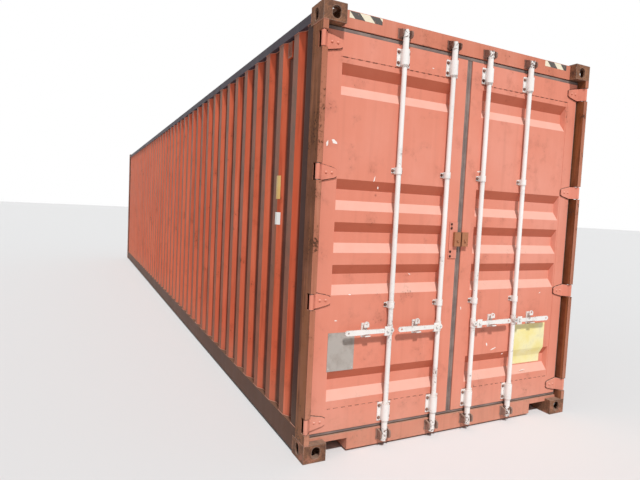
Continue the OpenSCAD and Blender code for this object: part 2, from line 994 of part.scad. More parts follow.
module left_bar_brackets() {
  color("#d8d2c8")
    mirror([0, 1, 0])
      bar_brackets();
}

module left_handle_catches() {
  color("#d8d2c8")
    mirror([0, 1, 0])
      handle_catches();
}

module left_lock_plate() {
  color("#8a4a2f")
    mirror([0, 1, 0])
      {
        lock_box_half();
        lock_backing([16, 46, 224, 250]);
      }
}

module left_data_plate() {
  color("#a9a59c")
    translate([hl - panel_in, -panel_out_y + 6, trough_mid[4] + trough_height / 2])
      difference() {
        cube([2, 200, 257]);
        for (y = [10, 190])
          for (z = [10, 247])
            translate([-1, y, z])
              rotate([0, 90, 0])
                cylinder(d = 5, h = 4);
      }
}

// Right door nodes

module right_door_frame() {
  color("#c85a3c")
    door_frame();
}

module right_door_panel() {
  color("#c85a3c")
    door_panel();
}

module right_door_gasket() {
  color("#8f8f8c")
    door_gasket();
}

module right_hinge_blades() {
  color("#c85a3c")
    hinge_blades();
}

module right_bar_brackets() {
  color("#d8d2c8")
    bar_brackets();
}

module right_handle_catches() {
  color("#d8d2c8")
    handle_catches();
}

module right_lock_plate() {
  color("#8a4a2f")
    lock_box_half();
}

// Locking bars and handles

module left_outer_bar() {
  color("#d8d2c8")
    mirror([0, 1, 0])
      bar_solid(bar_outer);
}

module left_inner_bar() {
  color("#d8d2c8")
    mirror([0, 1, 0])
      bar_solid(bar_inner);
}

module right_outer_bar() {
  color("#d8d2c8")
    bar_solid(bar_outer);
}

module right_inner_bar() {
  color("#d8d2c8")
    bar_solid(bar_inner);
}

module left_outer_handle() {
  color("#e2ddd3")
    mirror([0, 1, 0])
      handle_solid(bar_outer);
}

module left_inner_handle() {
  color("#e2ddd3")
    mirror([0, 1, 0])
      handle_solid(bar_inner);
}

module right_outer_handle() {
  color("#e2ddd3")
    handle_solid(bar_outer);
}

module right_inner_handle() {
  color("#e2ddd3")
    handle_solid(bar_inner);
}

// Drawing of each part

top_corner_fittings();
bottom_corner_fittings();
rear_corner_posts();
rear_post_liners();
front_corner_posts();
door_header();
door_sill();
cam_keepers();
bottom_side_rails();
top_side_rails();
left_side_wall();
right_side_wall();
front_wall();
front_header();
front_sill();
roof_sheet_panels();
roof_doubler_plates();
crossmembers();
gooseneck_tunnel();
gooseneck_side_walls();
floor_boards();
floor_side_angles();
side_vents();
hinge_pins();
left_door_frame();
left_door_panel();
left_door_gasket();
left_hinge_blades();
left_bar_brackets();
left_handle_catches();
left_lock_plate();
left_data_plate();
right_door_frame();
right_door_panel();
right_door_gasket();
right_hinge_blades();
right_bar_brackets();
right_handle_catches();
right_lock_plate();
left_outer_bar();
left_inner_bar();
right_outer_bar();
right_inner_bar();
left_outer_handle();
left_inner_handle();
right_outer_handle();
right_inner_handle();
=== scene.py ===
"""Looks of a forty-foot high-cube shipping container: finishes, small fittings and studio.

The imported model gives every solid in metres, with +X towards the doors and +Z up.
"""

import logging
import math
import random
from dataclasses import dataclass, replace
from enum import Enum
from functools import cached_property
from typing import Iterable, Optional, Sequence, Union

import bmesh
import bpy
from mathutils import Matrix, Vector


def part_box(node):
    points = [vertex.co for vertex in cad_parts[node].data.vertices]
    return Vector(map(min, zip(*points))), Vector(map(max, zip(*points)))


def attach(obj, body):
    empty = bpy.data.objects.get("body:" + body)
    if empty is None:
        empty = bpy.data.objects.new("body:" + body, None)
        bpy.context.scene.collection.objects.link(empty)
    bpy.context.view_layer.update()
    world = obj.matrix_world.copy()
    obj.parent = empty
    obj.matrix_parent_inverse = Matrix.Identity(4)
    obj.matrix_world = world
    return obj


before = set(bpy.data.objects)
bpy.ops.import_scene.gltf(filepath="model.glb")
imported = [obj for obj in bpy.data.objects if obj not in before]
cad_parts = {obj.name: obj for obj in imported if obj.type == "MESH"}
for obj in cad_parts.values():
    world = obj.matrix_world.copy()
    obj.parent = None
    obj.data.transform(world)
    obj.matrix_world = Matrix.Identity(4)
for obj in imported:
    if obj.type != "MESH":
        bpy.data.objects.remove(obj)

LOG = logging.getLogger("container")
Colour = tuple[float, float, float]
Point = tuple[float, float, float]
OUTWARD: Point = (1, 0, 0)
BEAD_SIDES = 6


def extent(node: str) -> list[Point]:
    """Lowest and highest corner of a CAD node, to a tenth of a millimetre."""
    return [tuple(round(value, 4) for value in corner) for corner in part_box(node)]


HALF_LENGTH, HALF_WIDTH, HEIGHT = extent("top_corner_fittings")[1]
POST_EDGE = extent("rear_corner_posts")[0][0]
WALL_FLAT = extent("right_side_wall")[1][1]
WALL_DEPTH = 0.036
FLOOR_TOP = extent("floor_boards")[1][2]
LEAF_LOW, LEAF_HIGH = extent("right_door_frame")
DOOR_FACE = LEAF_HIGH[0]
PANEL_LOW, PANEL_HIGH = extent("right_door_panel")
PANEL_FACE = PANEL_HIGH[0]
HANDLE_HEIGHT = sum(z for _, _, z in extent("right_outer_handle")) / 2
BARS = (0.588, 0.168)
HINGES = (0.240, 1.045, 1.863, 2.668)

# Scrapes on each door: place across and up, half length, half width, turn in radians
LEFT_SCUFFS = ((1.075, 2.060, 0.020, 0.011, 0.5), (1.125, 2.045, 0.007, 0.020, 0.2),
               (0.760, 1.845, 0.004, 0.022, 0.3), (0.730, 1.790, 0.006, 0.008, 0.0),
               (0.905, 1.075, 0.010, 0.004, 0.2), (0.430, 1.205, 0.010, 0.003, 0.4),
               (1.000, 0.905, 0.012, 0.004, 0.1), (0.330, 2.640, 0.009, 0.003, 0.1))
RIGHT_SCUFFS = ((0.155, 1.965, 0.022, 0.006, 0.1), (0.420, 0.600, 0.030, 0.004, 0.3),
                (0.350, 0.640, 0.006, 0.014, 0.4), (0.520, 0.550, 0.012, 0.003, 0.2),
                (0.900, 1.030, 0.010, 0.003, 0.5), (0.760, 0.395, 0.030, 0.004, 0.1),
                (0.060, 0.940, 0.004, 0.012, 0.2))


class Side(Enum):
    """Side of the container as one faces the doors."""

    LEFT = -1
    RIGHT = 1

    @property
    def word(self) -> str:
        """Name of the side as the bodies and nodes spell it."""
        return self.name.lower()

    def corner(self, x: float, depth_in: float, z: float) -> Point:
        """A point given by its distance in from this side's plane."""
        return (x, self.value * (HALF_WIDTH - depth_in), z)


# Shader expressions


class Term:
    """A shader socket with arithmetic: an expression on terms adds Math nodes."""

    def __init__(self, net: "Net", socket: bpy.types.NodeSocket) -> None:
        """Wrap one output socket of a net."""
        self.net = net
        self.socket = socket

    def _math(self, operation: str, *values: "Operand", clamp: bool = False) -> "Term":
        """The value of a new Math node on these inputs."""
        settings = {"operation": operation, "use_clamp": clamp}
        return self.net.node("ShaderNodeMath", settings, dict(enumerate(values)))["Value"]

    def __add__(self, other: "Operand") -> "Term":
        """Sum."""
        return self._math("ADD", self, other)

    __radd__ = __add__

    def __sub__(self, other: "Operand") -> "Term":
        """Difference."""
        return self._math("SUBTRACT", self, other)

    def __rsub__(self, other: "Operand") -> "Term":
        """Difference from a number."""
        return self._math("SUBTRACT", other, self)

    def __mul__(self, other: "Operand") -> "Term":
        """Product."""
        return self._math("MULTIPLY", self, other)

    __rmul__ = __mul__

    def __truediv__(self, other: "Operand") -> "Term":
        """Quotient."""
        return self._math("DIVIDE", self, other)

    def size(self) -> "Term":
        """The value without its sign."""
        return self._math("ABSOLUTE", self)

    def clamped(self) -> "Term":
        """The value kept between 0 and 1."""
        return self._math("ADD", self, 0.0, clamp=True)

    def larger(self, other: "Operand") -> "Term":
        """The larger of two values."""
        return self._math("MAXIMUM", self, other)

    def above(self, low: float, high: float) -> "Term":
        """Smooth step from 0 at low to 1 at high."""
        inputs = {"Value": self, "From Min": low, "From Max": high}
        return self.net.node("ShaderNodeMapRange", {"interpolation_type": "SMOOTHSTEP"}, inputs)["Result"]

    def wave(self, period: float) -> "Term":
        """Saw tooth from 0 to 1 over each period."""
        return self._math("FRACT", self / period)


Operand = Union[Term, int, float]
Value = Union[Operand, Sequence[float]]


class Outputs:
    """The outputs of one node, as terms by name."""

    def __init__(self, net: "Net", shader_node: bpy.types.Node) -> None:
        """Wrap a node of a net."""
        self.net = net
        self.shader_node = shader_node

    def __getitem__(self, name: str) -> Term:
        """The first enabled output of that name."""
        return Term(self.net, next(s for s in self.shader_node.outputs if s.name == name and s.enabled))


class Net:
    """One material's or world's node tree."""

    def __init__(self, name: str, owner: Optional[bpy.types.World] = None) -> None:
        """Start an empty tree.

        Args:
            name: Name of a new material.
            owner: World that takes the tree instead.
        """
        self.material = owner or bpy.data.materials.new(name)
        self.material.use_nodes = True
        self.tree = self.material.node_tree
        self.tree.nodes.clear()

    def node(self, kind: str, settings: Optional[dict] = None,
             inputs: Optional[dict[Union[str, int], Value]] = None) -> Outputs:
        """Add one node.

        Args:
            kind: The node's type.
            settings: Its own settings.
            inputs: Values or links by socket name or number.

        Returns:
            The node's outputs.
        """
        made = self.tree.nodes.new(kind)
        for key, value in (settings or {}).items():
            setattr(made, key, value)
        for key, value in (inputs or {}).items():
            enabled = [s for s in made.inputs if s.enabled or kind == "ShaderNodeMath"]
            socket = enabled[key] if isinstance(key, int) else next(s for s in enabled if s.name == key)
            if isinstance(value, Term):
                self.tree.links.new(value.socket, socket)
            elif isinstance(value, (int, float)):
                socket.default_value = value
            else:
                socket.default_value = (*value, 1.0)[:len(socket.default_value)]
        return Outputs(self, made)

    def place(self) -> Term:
        """Object coordinates, in metres."""
        return self.node("ShaderNodeTexCoord")["Object"]

    def part(self, axis: str, vector: Term) -> Term:
        """One component of a vector."""
        return self.node("ShaderNodeSeparateXYZ", None, {"Vector": vector})[axis]

    def noise(self, vector: Term, scale: Union[float, Point], detail: float, roughness: float) -> Term:
        """Fractal noise from 0 to 1.

        Args:
            vector: Where it is read.
            scale: Its fineness, which may differ by axis.
            detail: Number of octaves.
            roughness: Share of the finer octaves.

        Returns:
            The noise.
        """
        if isinstance(scale, tuple):
            settings = {"operation": "MULTIPLY"}
            vector = self.node("ShaderNodeVectorMath", settings, {0: vector, 1: scale})["Vector"]
            scale = 1.0
        inputs = {"Vector": vector, "Scale": scale, "Detail": detail, "Roughness": roughness}
        return self.node("ShaderNodeTexNoise", None, inputs)["Fac"]

    def cells(self, vector: Term, scale: float) -> Term:
        """Distance to the nearest random point."""
        return self.node("ShaderNodeTexVoronoi", None, {"Vector": vector, "Scale": scale})["Distance"]

    def mix(self, factor: Value, first: Value, second: Value) -> Term:
        """Mix of two colours."""
        inputs = {"Factor": factor, "A": first, "B": second}
        return self.node("ShaderNodeMix", {"data_type": "RGBA"}, inputs)["Result"]

    def edges(self, radius: float) -> Term:
        """Mask of the edges within a radius.

        Args:
            radius: Reach of an edge, in metres.

        Returns:
            1 on convex and concave edges, 0 on flat faces.
        """
        bevel = self.node("ShaderNodeBevel", {"samples": 4}, {"Radius": radius})["Normal"]
        plain = self.node("ShaderNodeNewGeometry")["Normal"]
        likeness = self.node("ShaderNodeVectorMath", {"operation": "DOT_PRODUCT"}, {0: bevel, 1: plain})
        return (1 - likeness["Value"]).above(0.01, 0.22)

    def facing(self, axis: str) -> Term:
        """How much the surface faces along an axis, from -1 to 1."""
        return self.part(axis, self.node("ShaderNodeNewGeometry")["Normal"])

    def bump(self, height: Term, distance: float, strength: float, below: Optional[Term] = None) -> Term:
        """Normal bent by a height field, with the distance in metres, over a coarser one below."""
        inputs = {"Height": height, "Distance": distance, "Strength": strength}
        return self.node("ShaderNodeBump", None, {**inputs, "Normal": below} if below else inputs)["Normal"]

    def surface(self, colour: Value, rough: Value, normal: Optional[Term] = None,
                more: Optional[dict[str, Value]] = None) -> bpy.types.Material:
        """Close the tree with one Principled shader.

        Args:
            colour: Base colour.
            rough: Roughness.
            normal: Bent normal.
            more: Values or links of further sockets.

        Returns:
            The finished material.
        """
        inputs = {"Base Color": colour, "Roughness": rough, **(more or {})}
        if normal:
            inputs["Normal"] = normal
        shader = self.node("ShaderNodeBsdfPrincipled", None, inputs)["BSDF"]
        self.node("ShaderNodeOutputMaterial", None, {"Surface": shader})
        return self.material


# Finishes


def scaled(colour: Colour, factor: float, lift: float = 0.0) -> Colour:
    """A colour made darker or paler, at most 1 in each part."""
    return tuple(min(1.0, c * factor + lift) for c in colour)


@dataclass(frozen=True)
class Paint:
    """Weathered paint on steel, with fading, streaks, dust, rust and chips, and painted shade and painted
    highlights.

    Lengths are in metres; amounts run from 0, none, to 1, covered.
    """

    name: str
    colour: Colour
    faded: Colour
    rust: Colour = (0.16, 0.062, 0.032)
    deep_rust: Colour = (0.055, 0.026, 0.018)
    dust: Colour = (0.42, 0.30, 0.22)
    rust_amount: float = 0.25
    edge_rust: float = 0.7
    dust_amount: float = 0.35
    streaks: float = 0.35
    edge: float = 0.006
    roughness: float = 0.55
    grain: float = 0.0006
    # Share of the painted brightening that makes the paint paler towards the front end
    far_fade: float = 0.0
    # Grime and painted shade on faces that look sideways, in the grime and high grime colours
    side_grime: float = 0.0
    grime: Colour = (0.210, 0.076, 0.039)
    high_grime: Colour = (0.166, 0.122, 0.094)
    flank_rust: float = 0.0
    flank_streak: Colour = (0.30, 0.105, 0.035)
    # Painted shade on the trough floors of the side walls, and a painted shadow on the wall's last flat
    # beside each post
    recess: float = 0.0
    recess_colour: Colour = (0.072, 0.016, 0.009)
    nook: float = 5.857
    nook_colour: Colour = (0.032, 0.006, 0.003)
    # Painted highlight with dust on upward-facing slopes, painted shade on downward-facing ones
    slope_dust: float = 0.0
    upper_slope: Colour = (0.78, 0.485, 0.405)
    under_slope: Colour = (0.50, 0.105, 0.048)
    bare_axis: str = ""
    bare_centre: float = 0.0
    bare_beyond: float = 0.0
    bare_specks: float = 0.0
    bare_colour: Colour = (0.30, 0.145, 0.10)

    def build(self) -> bpy.types.Material:
        """Make the material.

        Returns:
            Paint whose colour, roughness and relief vary over the surface.
        """
        net = Net(self.name)
        place = net.place()
        height = net.part("Z", place)
        broad = net.noise(place, 0.9, 5.0, 0.6)
        patch = net.noise(place, 5.5, 6.0, 0.62)
        fine = net.noise(place, 60.0, 4.0, 0.6)
        runs = net.noise(place, (16.0, 16.0, 0.9), 5.0, 0.6)
        # Fading and rain streaks
        colour = net.mix(broad.above(0.32, 0.72), self.colour, self.faded)
        colour = net.mix(patch.above(0.52, 0.74) * 0.55, colour, scaled(self.colour, 0.72))
        colour = net.mix(runs.above(0.50, 0.72) * self.streaks, colour, scaled(self.colour, 0.62))
        pale = scaled(self.faded, 1.12, 0.03)
        colour = net.mix((1 - runs).above(0.52, 0.72) * (0.65 * self.streaks), colour, pale)
        # Painted light: the paint grows paler towards the front end
        if self.far_fade:
            far = (1 - net.part("X", place) / HALF_LENGTH) * 0.5
            colour = net.mix(far.clamped() * self.far_fade, colour, pale)
        # Grime and painted shade on what faces sideways, painted shade in the troughs of the side walls
        if self.side_grime:
            flank = (net.facing("Y") * net.facing("Y")).above(0.80, 0.98) * self.side_grime
            soot_and_shade = net.mix(height.above(0.5, 2.3), self.grime, self.high_grime)
            stain = net.mix(runs.above(0.48, 0.62) * self.flank_rust, soot_and_shade, self.flank_streak)
            colour = net.mix(flank * (0.45 + patch * 0.9), colour, stain)
        # Painted shade on the trough floors, painted shadow on the last flat beside each post
        if self.recess:
            sunk = 1 - net.part("Y", place).size().above(self.recess + 0.004, self.recess + 0.012)
            colour = net.mix((sunk * (0.60 + patch * 0.5)).clamped(), colour, self.recess_colour)
            nook = net.part("X", place).size().above(self.nook, self.nook + 0.011)
            colour = net.mix(nook * 0.92, colour, self.nook_colour)
        # Painted highlight and dust on the upward-facing slopes of the door troughs, painted shade on the
        # downward-facing ones
        if self.slope_dust:
            tilt = net.facing("Z")
            lit = tilt.above(0.25, 0.55) * self.slope_dust * (0.6 + patch * 0.6)
            colour = net.mix(lit.clamped(), colour, self.upper_slope)
            colour = net.mix((0 - tilt).above(0.25, 0.55) * 0.8, colour, self.under_slope)
        # Bare steel where other metal rubs
        if self.bare_axis:
            away = (net.part(self.bare_axis, place) - self.bare_centre).size()
            speck = (fine * 0.6 + patch * 0.4).above(0.44, 0.50) * self.bare_specks
            bare = away.above(self.bare_beyond, self.bare_beyond + 0.0006) * (1.25 - patch * 0.7 - speck)
            colour = net.mix(bare.clamped(), colour, self.bare_colour)
        # Rust in spots and along edges
        chip = patch * 0.55 + fine * 0.45
        spot = chip.above(0.665 - 0.13 * self.rust_amount, 0.70 - 0.10 * self.rust_amount)
        worn = net.edges(self.edge) * (chip + 0.30)
        rim = worn.above(1.02 - 0.42 * self.edge_rust, 1.16 - 0.42 * self.edge_rust)
        rusty = spot.larger(rim).clamped()
        halo = chip.above(0.60 - 0.13 * self.rust_amount, 0.70 - 0.10 * self.rust_amount)
        colour = net.mix(halo * 0.35, colour, self.rust)
        flake = net.noise(place, 140.0, 3.0, 0.7)
        colour = net.mix(rusty, colour, net.mix(flake.above(0.35, 0.7), self.deep_rust, self.rust))
        # Dust low down and on what lies flat
        low = (1 - height.above(0.0, 0.55)) * (patch * 0.9 + 0.25)
        lying = net.facing("Z").above(0.35, 0.9)
        dusty = ((low * 0.55 + lying * (0.55 + patch * 0.5)) * self.dust_amount * (0.6 + fine)).clamped()
        colour = net.mix(dusty, colour, self.dust)
        rough = (self.roughness + (patch - 0.5) * 0.22 + rusty * 0.28 + dusty * 0.25).clamped()
        relief = fine * 0.35 + flake * rusty * 0.8 - rusty * 0.9 + patch * 0.3
        wavy = net.bump(broad + net.noise(place, 2.6, 2.0, 0.4) * 0.6, 0.004, 0.6)
        return net.surface(colour, rough, net.bump(relief, self.grain, 1.0, wavy),
                           {"Specular IOR Level": 0.14})


@dataclass(frozen=True)
class Casting:
    """Rough cast steel under brown rust, with remains of paint."""

    name: str
    dark: Colour = (0.100, 0.044, 0.026)
    warm: Colour = (0.31, 0.140, 0.072)
    paint: Colour = (0.40, 0.15, 0.10)
    shine: Colour = (0.33, 0.27, 0.235)
    dust: Colour = (0.34, 0.25, 0.19)
    paint_left: float = 0.3
    lumps: float = 0.0016

    def build(self) -> bpy.types.Material:
        """Make the material.

        Returns:
            Pitted rust that lightens on the rubbed edges.
        """
        net = Net(self.name)
        place = net.place()
        coarse = net.noise(place, 14.0, 6.0, 0.65)
        fine = net.noise(place, 95.0, 5.0, 0.65)
        broad = net.noise(place, 2.4, 4.0, 0.6)
        pits = net.cells(place, 160.0)
        colour = net.mix((coarse * 0.6 + fine * 0.4).above(0.36, 0.66), self.dark, self.warm)
        left = (broad * 0.6 + coarse * 0.4).above(0.62 - 0.2 * self.paint_left, 0.70 - 0.2 * self.paint_left)
        colour = net.mix(left * 0.8, colour, self.paint)
        rubbed = (net.edges(0.009) * (fine * 0.7 + 0.55)).above(0.45, 0.85)
        colour = net.mix(rubbed * 0.55, colour, self.shine)
        lying = net.facing("Z").above(0.5, 0.95) * (0.35 + coarse * 0.6)
        colour = net.mix((lying * 0.6).clamped(), colour, self.dust)
        rough = (0.78 - rubbed * 0.22 + (fine - 0.5) * 0.2).clamped()
        relief = coarse + fine * 0.5 - (1 - pits).above(0.72, 0.95) * 0.4
        return net.surface(colour, rough, net.bump(relief, self.lumps, 0.8), {"Specular IOR Level": 0.35})


@dataclass(frozen=True)
class Rubber:
    """Grey door seal, chalky with age and dirty in its folds."""

    name: str
    colour: Colour = (0.165, 0.120, 0.107)
    chalk: Colour = (0.255, 0.190, 0.165)
    dust: Colour = (0.26, 0.14, 0.10)

    def build(self) -> bpy.types.Material:
        """Make the material.

        Returns:
            Rubber with chalking, red dust and fine cracks.
        """
        net = Net(self.name)
        place = net.place()
        patch = net.noise(place, 9.0, 5.0, 0.6)
        fine = net.noise(place, 120.0, 4.0, 0.6)
        cracks = net.noise(place, (30.0, 30.0, 160.0), 3.0, 0.6)
        colour = net.mix(patch.above(0.38, 0.68), self.colour, self.chalk)
        colour = net.mix(fine.above(0.5, 0.75) * 0.45, colour, self.dust)
        rough = (0.68 + (patch - 0.5) * 0.3).clamped()
        return net.surface(colour, rough, net.bump(fine * 0.5 + cracks * 0.6, 0.0006, 0.7))


@dataclass(frozen=True)
class Plywood:
    """Oiled floor boards with grain along the length, scratches and tyre grime."""

    name: str
    light: Colour = (0.33, 0.20, 0.105)
    dark: Colour = (0.14, 0.078, 0.042)
    grime: Colour = (0.075, 0.052, 0.04)
    raw: Colour = (0.46, 0.34, 0.22)

    def build(self) -> bpy.types.Material:
        """Make the material.

        Returns:
            Worn plywood.
        """
        net = Net(self.name)
        place = net.place()
        figure = net.noise(place, (0.9, 16.0, 16.0), 7.0, 0.6)
        pores = net.noise(place, (6.0, 260.0, 260.0), 3.0, 0.6)
        stain = net.noise(place, 1.3, 5.0, 0.6)
        scratch = net.noise(place, (1.6, 90.0, 90.0), 2.0, 0.5).above(0.62, 0.68)
        colour = net.mix(figure.above(0.3, 0.7), self.dark, self.light)
        colour = net.mix(stain.above(0.5, 0.72) * 0.65, colour, self.grime)
        colour = net.mix(scratch * 0.4, colour, self.raw)
        rough = (0.55 + (stain - 0.5) * 0.35 + pores * 0.1).clamped()
        return net.surface(colour, rough, net.bump(pores * 0.6 + figure * 0.5 - scratch, 0.0007, 0.8))


@dataclass(frozen=True)
class BareMetal:
    """Dull metal with brushing, stains and scratches."""

    name: str
    colour: Colour
    stain: Colour = (0.20, 0.165, 0.14)
    metallic: float = 0.75
    roughness: float = 0.42
    edge_rust: Colour = (0.13, 0.06, 0.035)

    def build(self) -> bpy.types.Material:
        """Make the material.

        Returns:
            Worn metal.
        """
        net = Net(self.name)
        place = net.place()
        brush = net.noise(place, (20.0, 20.0, 420.0), 3.0, 0.6)
        patch = net.noise(place, 11.0, 6.0, 0.62)
        fine = net.noise(place, 150.0, 3.0, 0.6)
        dirty = patch.above(0.45, 0.72)
        colour = net.mix(brush * 0.35, self.colour, scaled(self.colour, 1.25))
        colour = net.mix(dirty * 0.75, colour, self.stain)
        colour = net.mix((net.edges(0.003) * (0.4 + fine)).above(0.5, 0.9) * 0.5, colour, self.edge_rust)
        rough = (self.roughness + dirty * 0.28 + (brush - 0.5) * 0.12).clamped()
        metal = (self.metallic - dirty * 0.45).clamped()
        return net.surface(colour, rough, net.bump(brush * 0.5 + fine * 0.5, 0.0003, 0.7),
                           {"Metallic": metal})


@dataclass(frozen=True)
class Sticker:
    """Bare adhesive film, sun-faded and scuffed, over the paint below."""

    name: str
    colour: Colour
    faded: Colour
    below: Colour = (0.50, 0.20, 0.145)
    grime: Colour = (0.25, 0.17, 0.12)
    worn: float = 0.4

    def build(self) -> bpy.types.Material:
        """Make the material.

        Returns:
            Film with scratches through to the paint.
        """
        net = Net(self.name)
        place = net.place()
        broad = net.noise(place, 7.0, 5.0, 0.6)
        fine = net.noise(place, 70.0, 5.0, 0.65)
        scratch = net.noise(place, (60.0, 9.0, 130.0), 3.0, 0.6)
        colour = net.mix(broad.above(0.35, 0.68), self.colour, self.faded)
        gone = (fine * 0.6 + scratch * 0.4).above(0.70 - 0.16 * self.worn, 0.73 - 0.16 * self.worn)
        colour = net.mix(gone, colour, self.below)
        colour = net.mix(broad.above(0.55, 0.8) * 0.3, colour, self.grime)
        rough = (0.42 + gone * 0.2 + (fine - 0.5) * 0.25).clamped()
        return net.surface(colour, rough, net.bump(broad * 0.6 + fine * 0.3 - gone * 0.4, 0.0005, 0.8))


@dataclass(frozen=True)
class HazardStripes:
    """Slanting pale yellow and dark bands, worn at random."""

    name: str
    pale: Colour = (0.80, 0.73, 0.56)
    dark: Colour = (0.080, 0.070, 0.062)
    below: Colour = (0.45, 0.20, 0.15)
    pitch: float = 0.150

    def build(self) -> bpy.types.Material:
        """Make the material.

        Returns:
            Striped paint.
        """
        net = Net(self.name)
        place = net.place()
        along = net.part("Y", place) + net.part("Z", place)
        fine = net.noise(place, 80.0, 5.0, 0.65)
        broad = net.noise(place, 10.0, 4.0, 0.6)
        band = (along + fine * 0.004).wave(self.pitch).above(0.48, 0.52)
        gone = (fine * 0.6 + broad * 0.4).above(0.60, 0.64)
        colour = net.mix(gone * 0.85, net.mix(band, self.pale, self.dark), self.below)
        rough = (0.5 + gone * 0.25).clamped()
        return net.surface(colour, rough, net.bump(fine * 0.5 - gone * 0.5, 0.0004, 0.8))


class Finish(Enum):
    """The container's finishes, each one made when it is first used."""

    # Wall: grime and painted shade on its sideways faces, painted shade in its troughs, a painted shadow
    # beside the posts, a painted brightening towards the front end
    WALL = Paint("wall_paint", (0.500, 0.082, 0.034), (0.570, 0.124, 0.058), rust_amount=0.28,
                 edge_rust=0.52, streaks=0.95, dust_amount=0.45, edge=0.004, side_grime=0.9,
                 recess=WALL_FLAT - WALL_DEPTH - 0.0005, far_fade=0.8, flank_rust=0.35)
    SHEET = Paint("sheet_paint", (0.470, 0.105, 0.055), (0.540, 0.170, 0.105), rust_amount=0.24,
                  edge_rust=0.5, streaks=0.4, dust_amount=0.4, edge=0.004)
    # Doors: painted highlight with dust on the upward trough slopes, painted shade on the downward ones
    DOOR = Paint("door_paint", (0.690, 0.238, 0.160), (0.745, 0.304, 0.226), rust_amount=0.07,
                 edge_rust=0.36, streaks=0.14, dust_amount=0.5, edge=0.004, slope_dust=0.75)
    FRAME = Paint("frame_paint", (0.590, 0.198, 0.124), (0.655, 0.262, 0.183), rust_amount=0.24,
                  edge_rust=0.55, dust_amount=0.5, streaks=0.3)
    SIDE_RAIL = Paint("side_rail_rust", (0.075, 0.031, 0.020), (0.110, 0.050, 0.033),
                      rust=(0.115, 0.045, 0.025), dust=(0.27, 0.155, 0.100), rust_amount=0.6,
                      edge_rust=0.8, streaks=0.4)
    # Top side rails: near black with a bluish tint, darker than the rest of the frame
    TOP_RAIL = Paint("top_rail_grime", (0.045, 0.036, 0.047), (0.082, 0.065, 0.080),
                     rust_amount=0.35, edge_rust=0.5, dust_amount=0.2, streaks=0.3)
    # Posts: grime and painted shade on their sideways faces
    POST = Paint("post_paint", (0.40, 0.145, 0.085), (0.53, 0.230, 0.145), rust_amount=0.62,
                 edge_rust=0.85, streaks=0.6, side_grime=0.95, grime=(0.122, 0.029, 0.005),
                 high_grime=(0.132, 0.040, 0.009), flank_rust=0.8)
    BASE = Paint("base_primer", (0.105, 0.060, 0.045), (0.16, 0.10, 0.078), rust_amount=0.5,
                 edge_rust=0.8, dust_amount=0.7, streaks=0.2)
    GEAR = Paint("gear_white", (0.79, 0.755, 0.72), (0.87, 0.85, 0.82), rust=(0.24, 0.10, 0.052),
                 deep_rust=(0.07, 0.03, 0.02), rust_amount=0.34, edge_rust=0.8, streaks=0.22,
                 edge=0.003, roughness=0.45)
    BAR = replace(GEAR, name="bar_white", colour=(0.82, 0.785, 0.755), faded=(0.89, 0.87, 0.845),
                  edge_rust=0.75, dust_amount=0.3, bare_axis="Z", bare_centre=1.4575,
                  bare_beyond=1.325, bare_specks=1.2, bare_colour=(0.14, 0.060, 0.042))
    KEEPER = Paint("keeper_worn", (0.22, 0.105, 0.078), (0.36, 0.25, 0.21),
                   rust=(0.115, 0.044, 0.028), rust_amount=1.0, dust_amount=0.3, edge=0.004)
    SEAM = Paint("seam_rust", (0.060, 0.024, 0.018), (0.15, 0.055, 0.036), rust_amount=0.8,
                 edge_rust=0.5, edge=0.002)
    STITCH = replace(SEAM, name="stitch_rust", colour=(0.20, 0.070, 0.045),
                     faded=(0.36, 0.135, 0.090), rust_amount=0.6, edge_rust=0.4)
    WELD = replace(SEAM, name="weld_bead", colour=(0.40, 0.15, 0.10), faded=(0.50, 0.21, 0.15),
                   rust_amount=0.6, grain=0.0012)
    HASP = Paint("hasp_rust", (0.66, 0.24, 0.17), (0.72, 0.30, 0.22), rust_amount=0.5,
                 edge_rust=0.9, edge=0.003, bare_axis="X", bare_beyond=DOOR_FACE + 0.0062,
                 bare_colour=(0.36, 0.155, 0.072))
    CASTING = Casting("casting_rust")
    SEAL = Rubber("seal_rubber")
    BOARDS = Plywood("floor_ply")
    PLATE = BareMetal("bare_plate", (0.42, 0.38, 0.345), (0.27, 0.225, 0.19), 0.35, 0.55)
    STEEL = BareMetal("worn_steel", (0.42, 0.40, 0.38))
    ZINC = BareMetal("zinc_bolt", (0.55, 0.53, 0.50), (0.25, 0.16, 0.11), 0.5, 0.5)
    SCUFF = Sticker("pale_scuff", (0.80, 0.72, 0.66), (0.88, 0.83, 0.79), below=(0.72, 0.36, 0.28),
                    worn=0.75)
    YELLOW = Sticker("sticker_yellow", (0.82, 0.71, 0.28), (0.86, 0.79, 0.46), worn=0.35)
    AMBER = Sticker("sticker_amber", (0.56, 0.31, 0.07), (0.64, 0.43, 0.15), worn=0.6)
    WHITE = Sticker("sticker_white", (0.74, 0.72, 0.69), (0.80, 0.78, 0.75), worn=0.5)
    STRIPES = HazardStripes("hazard_stripes")

    @cached_property
    def material(self) -> bpy.types.Material:
        """The finish as a material, made once."""
        return self.value.build()

    @classmethod
    def of_node(cls, node: str) -> "Finish":
        """The finish of one CAD node.

        Args:
            node: The node's name.

        Returns:
            The finish of the first rule with a word that the name holds.
        """
        rules = (("corner_fittings", cls.CASTING), ("posts liners", cls.POST), ("gasket", cls.SEAL),
                 ("floor_boards", cls.BOARDS), ("crossmembers gooseneck side_angles", cls.BASE),
                 ("keepers", cls.KEEPER), ("_bar", cls.BAR), ("catches _handle", cls.GEAR),
                 ("lock_plate", cls.HASP), ("data_plate", cls.PLATE), ("hinge_pins", cls.STEEL),
                 ("top_side_rails", cls.TOP_RAIL), ("bottom_side_rails", cls.SIDE_RAIL),
                 ("roof front", cls.SHEET), ("header sill", cls.FRAME), ("door blades", cls.DOOR))
        return next((finish for words, finish in rules if any(word in node for word in words.split())),
                    cls.WALL)


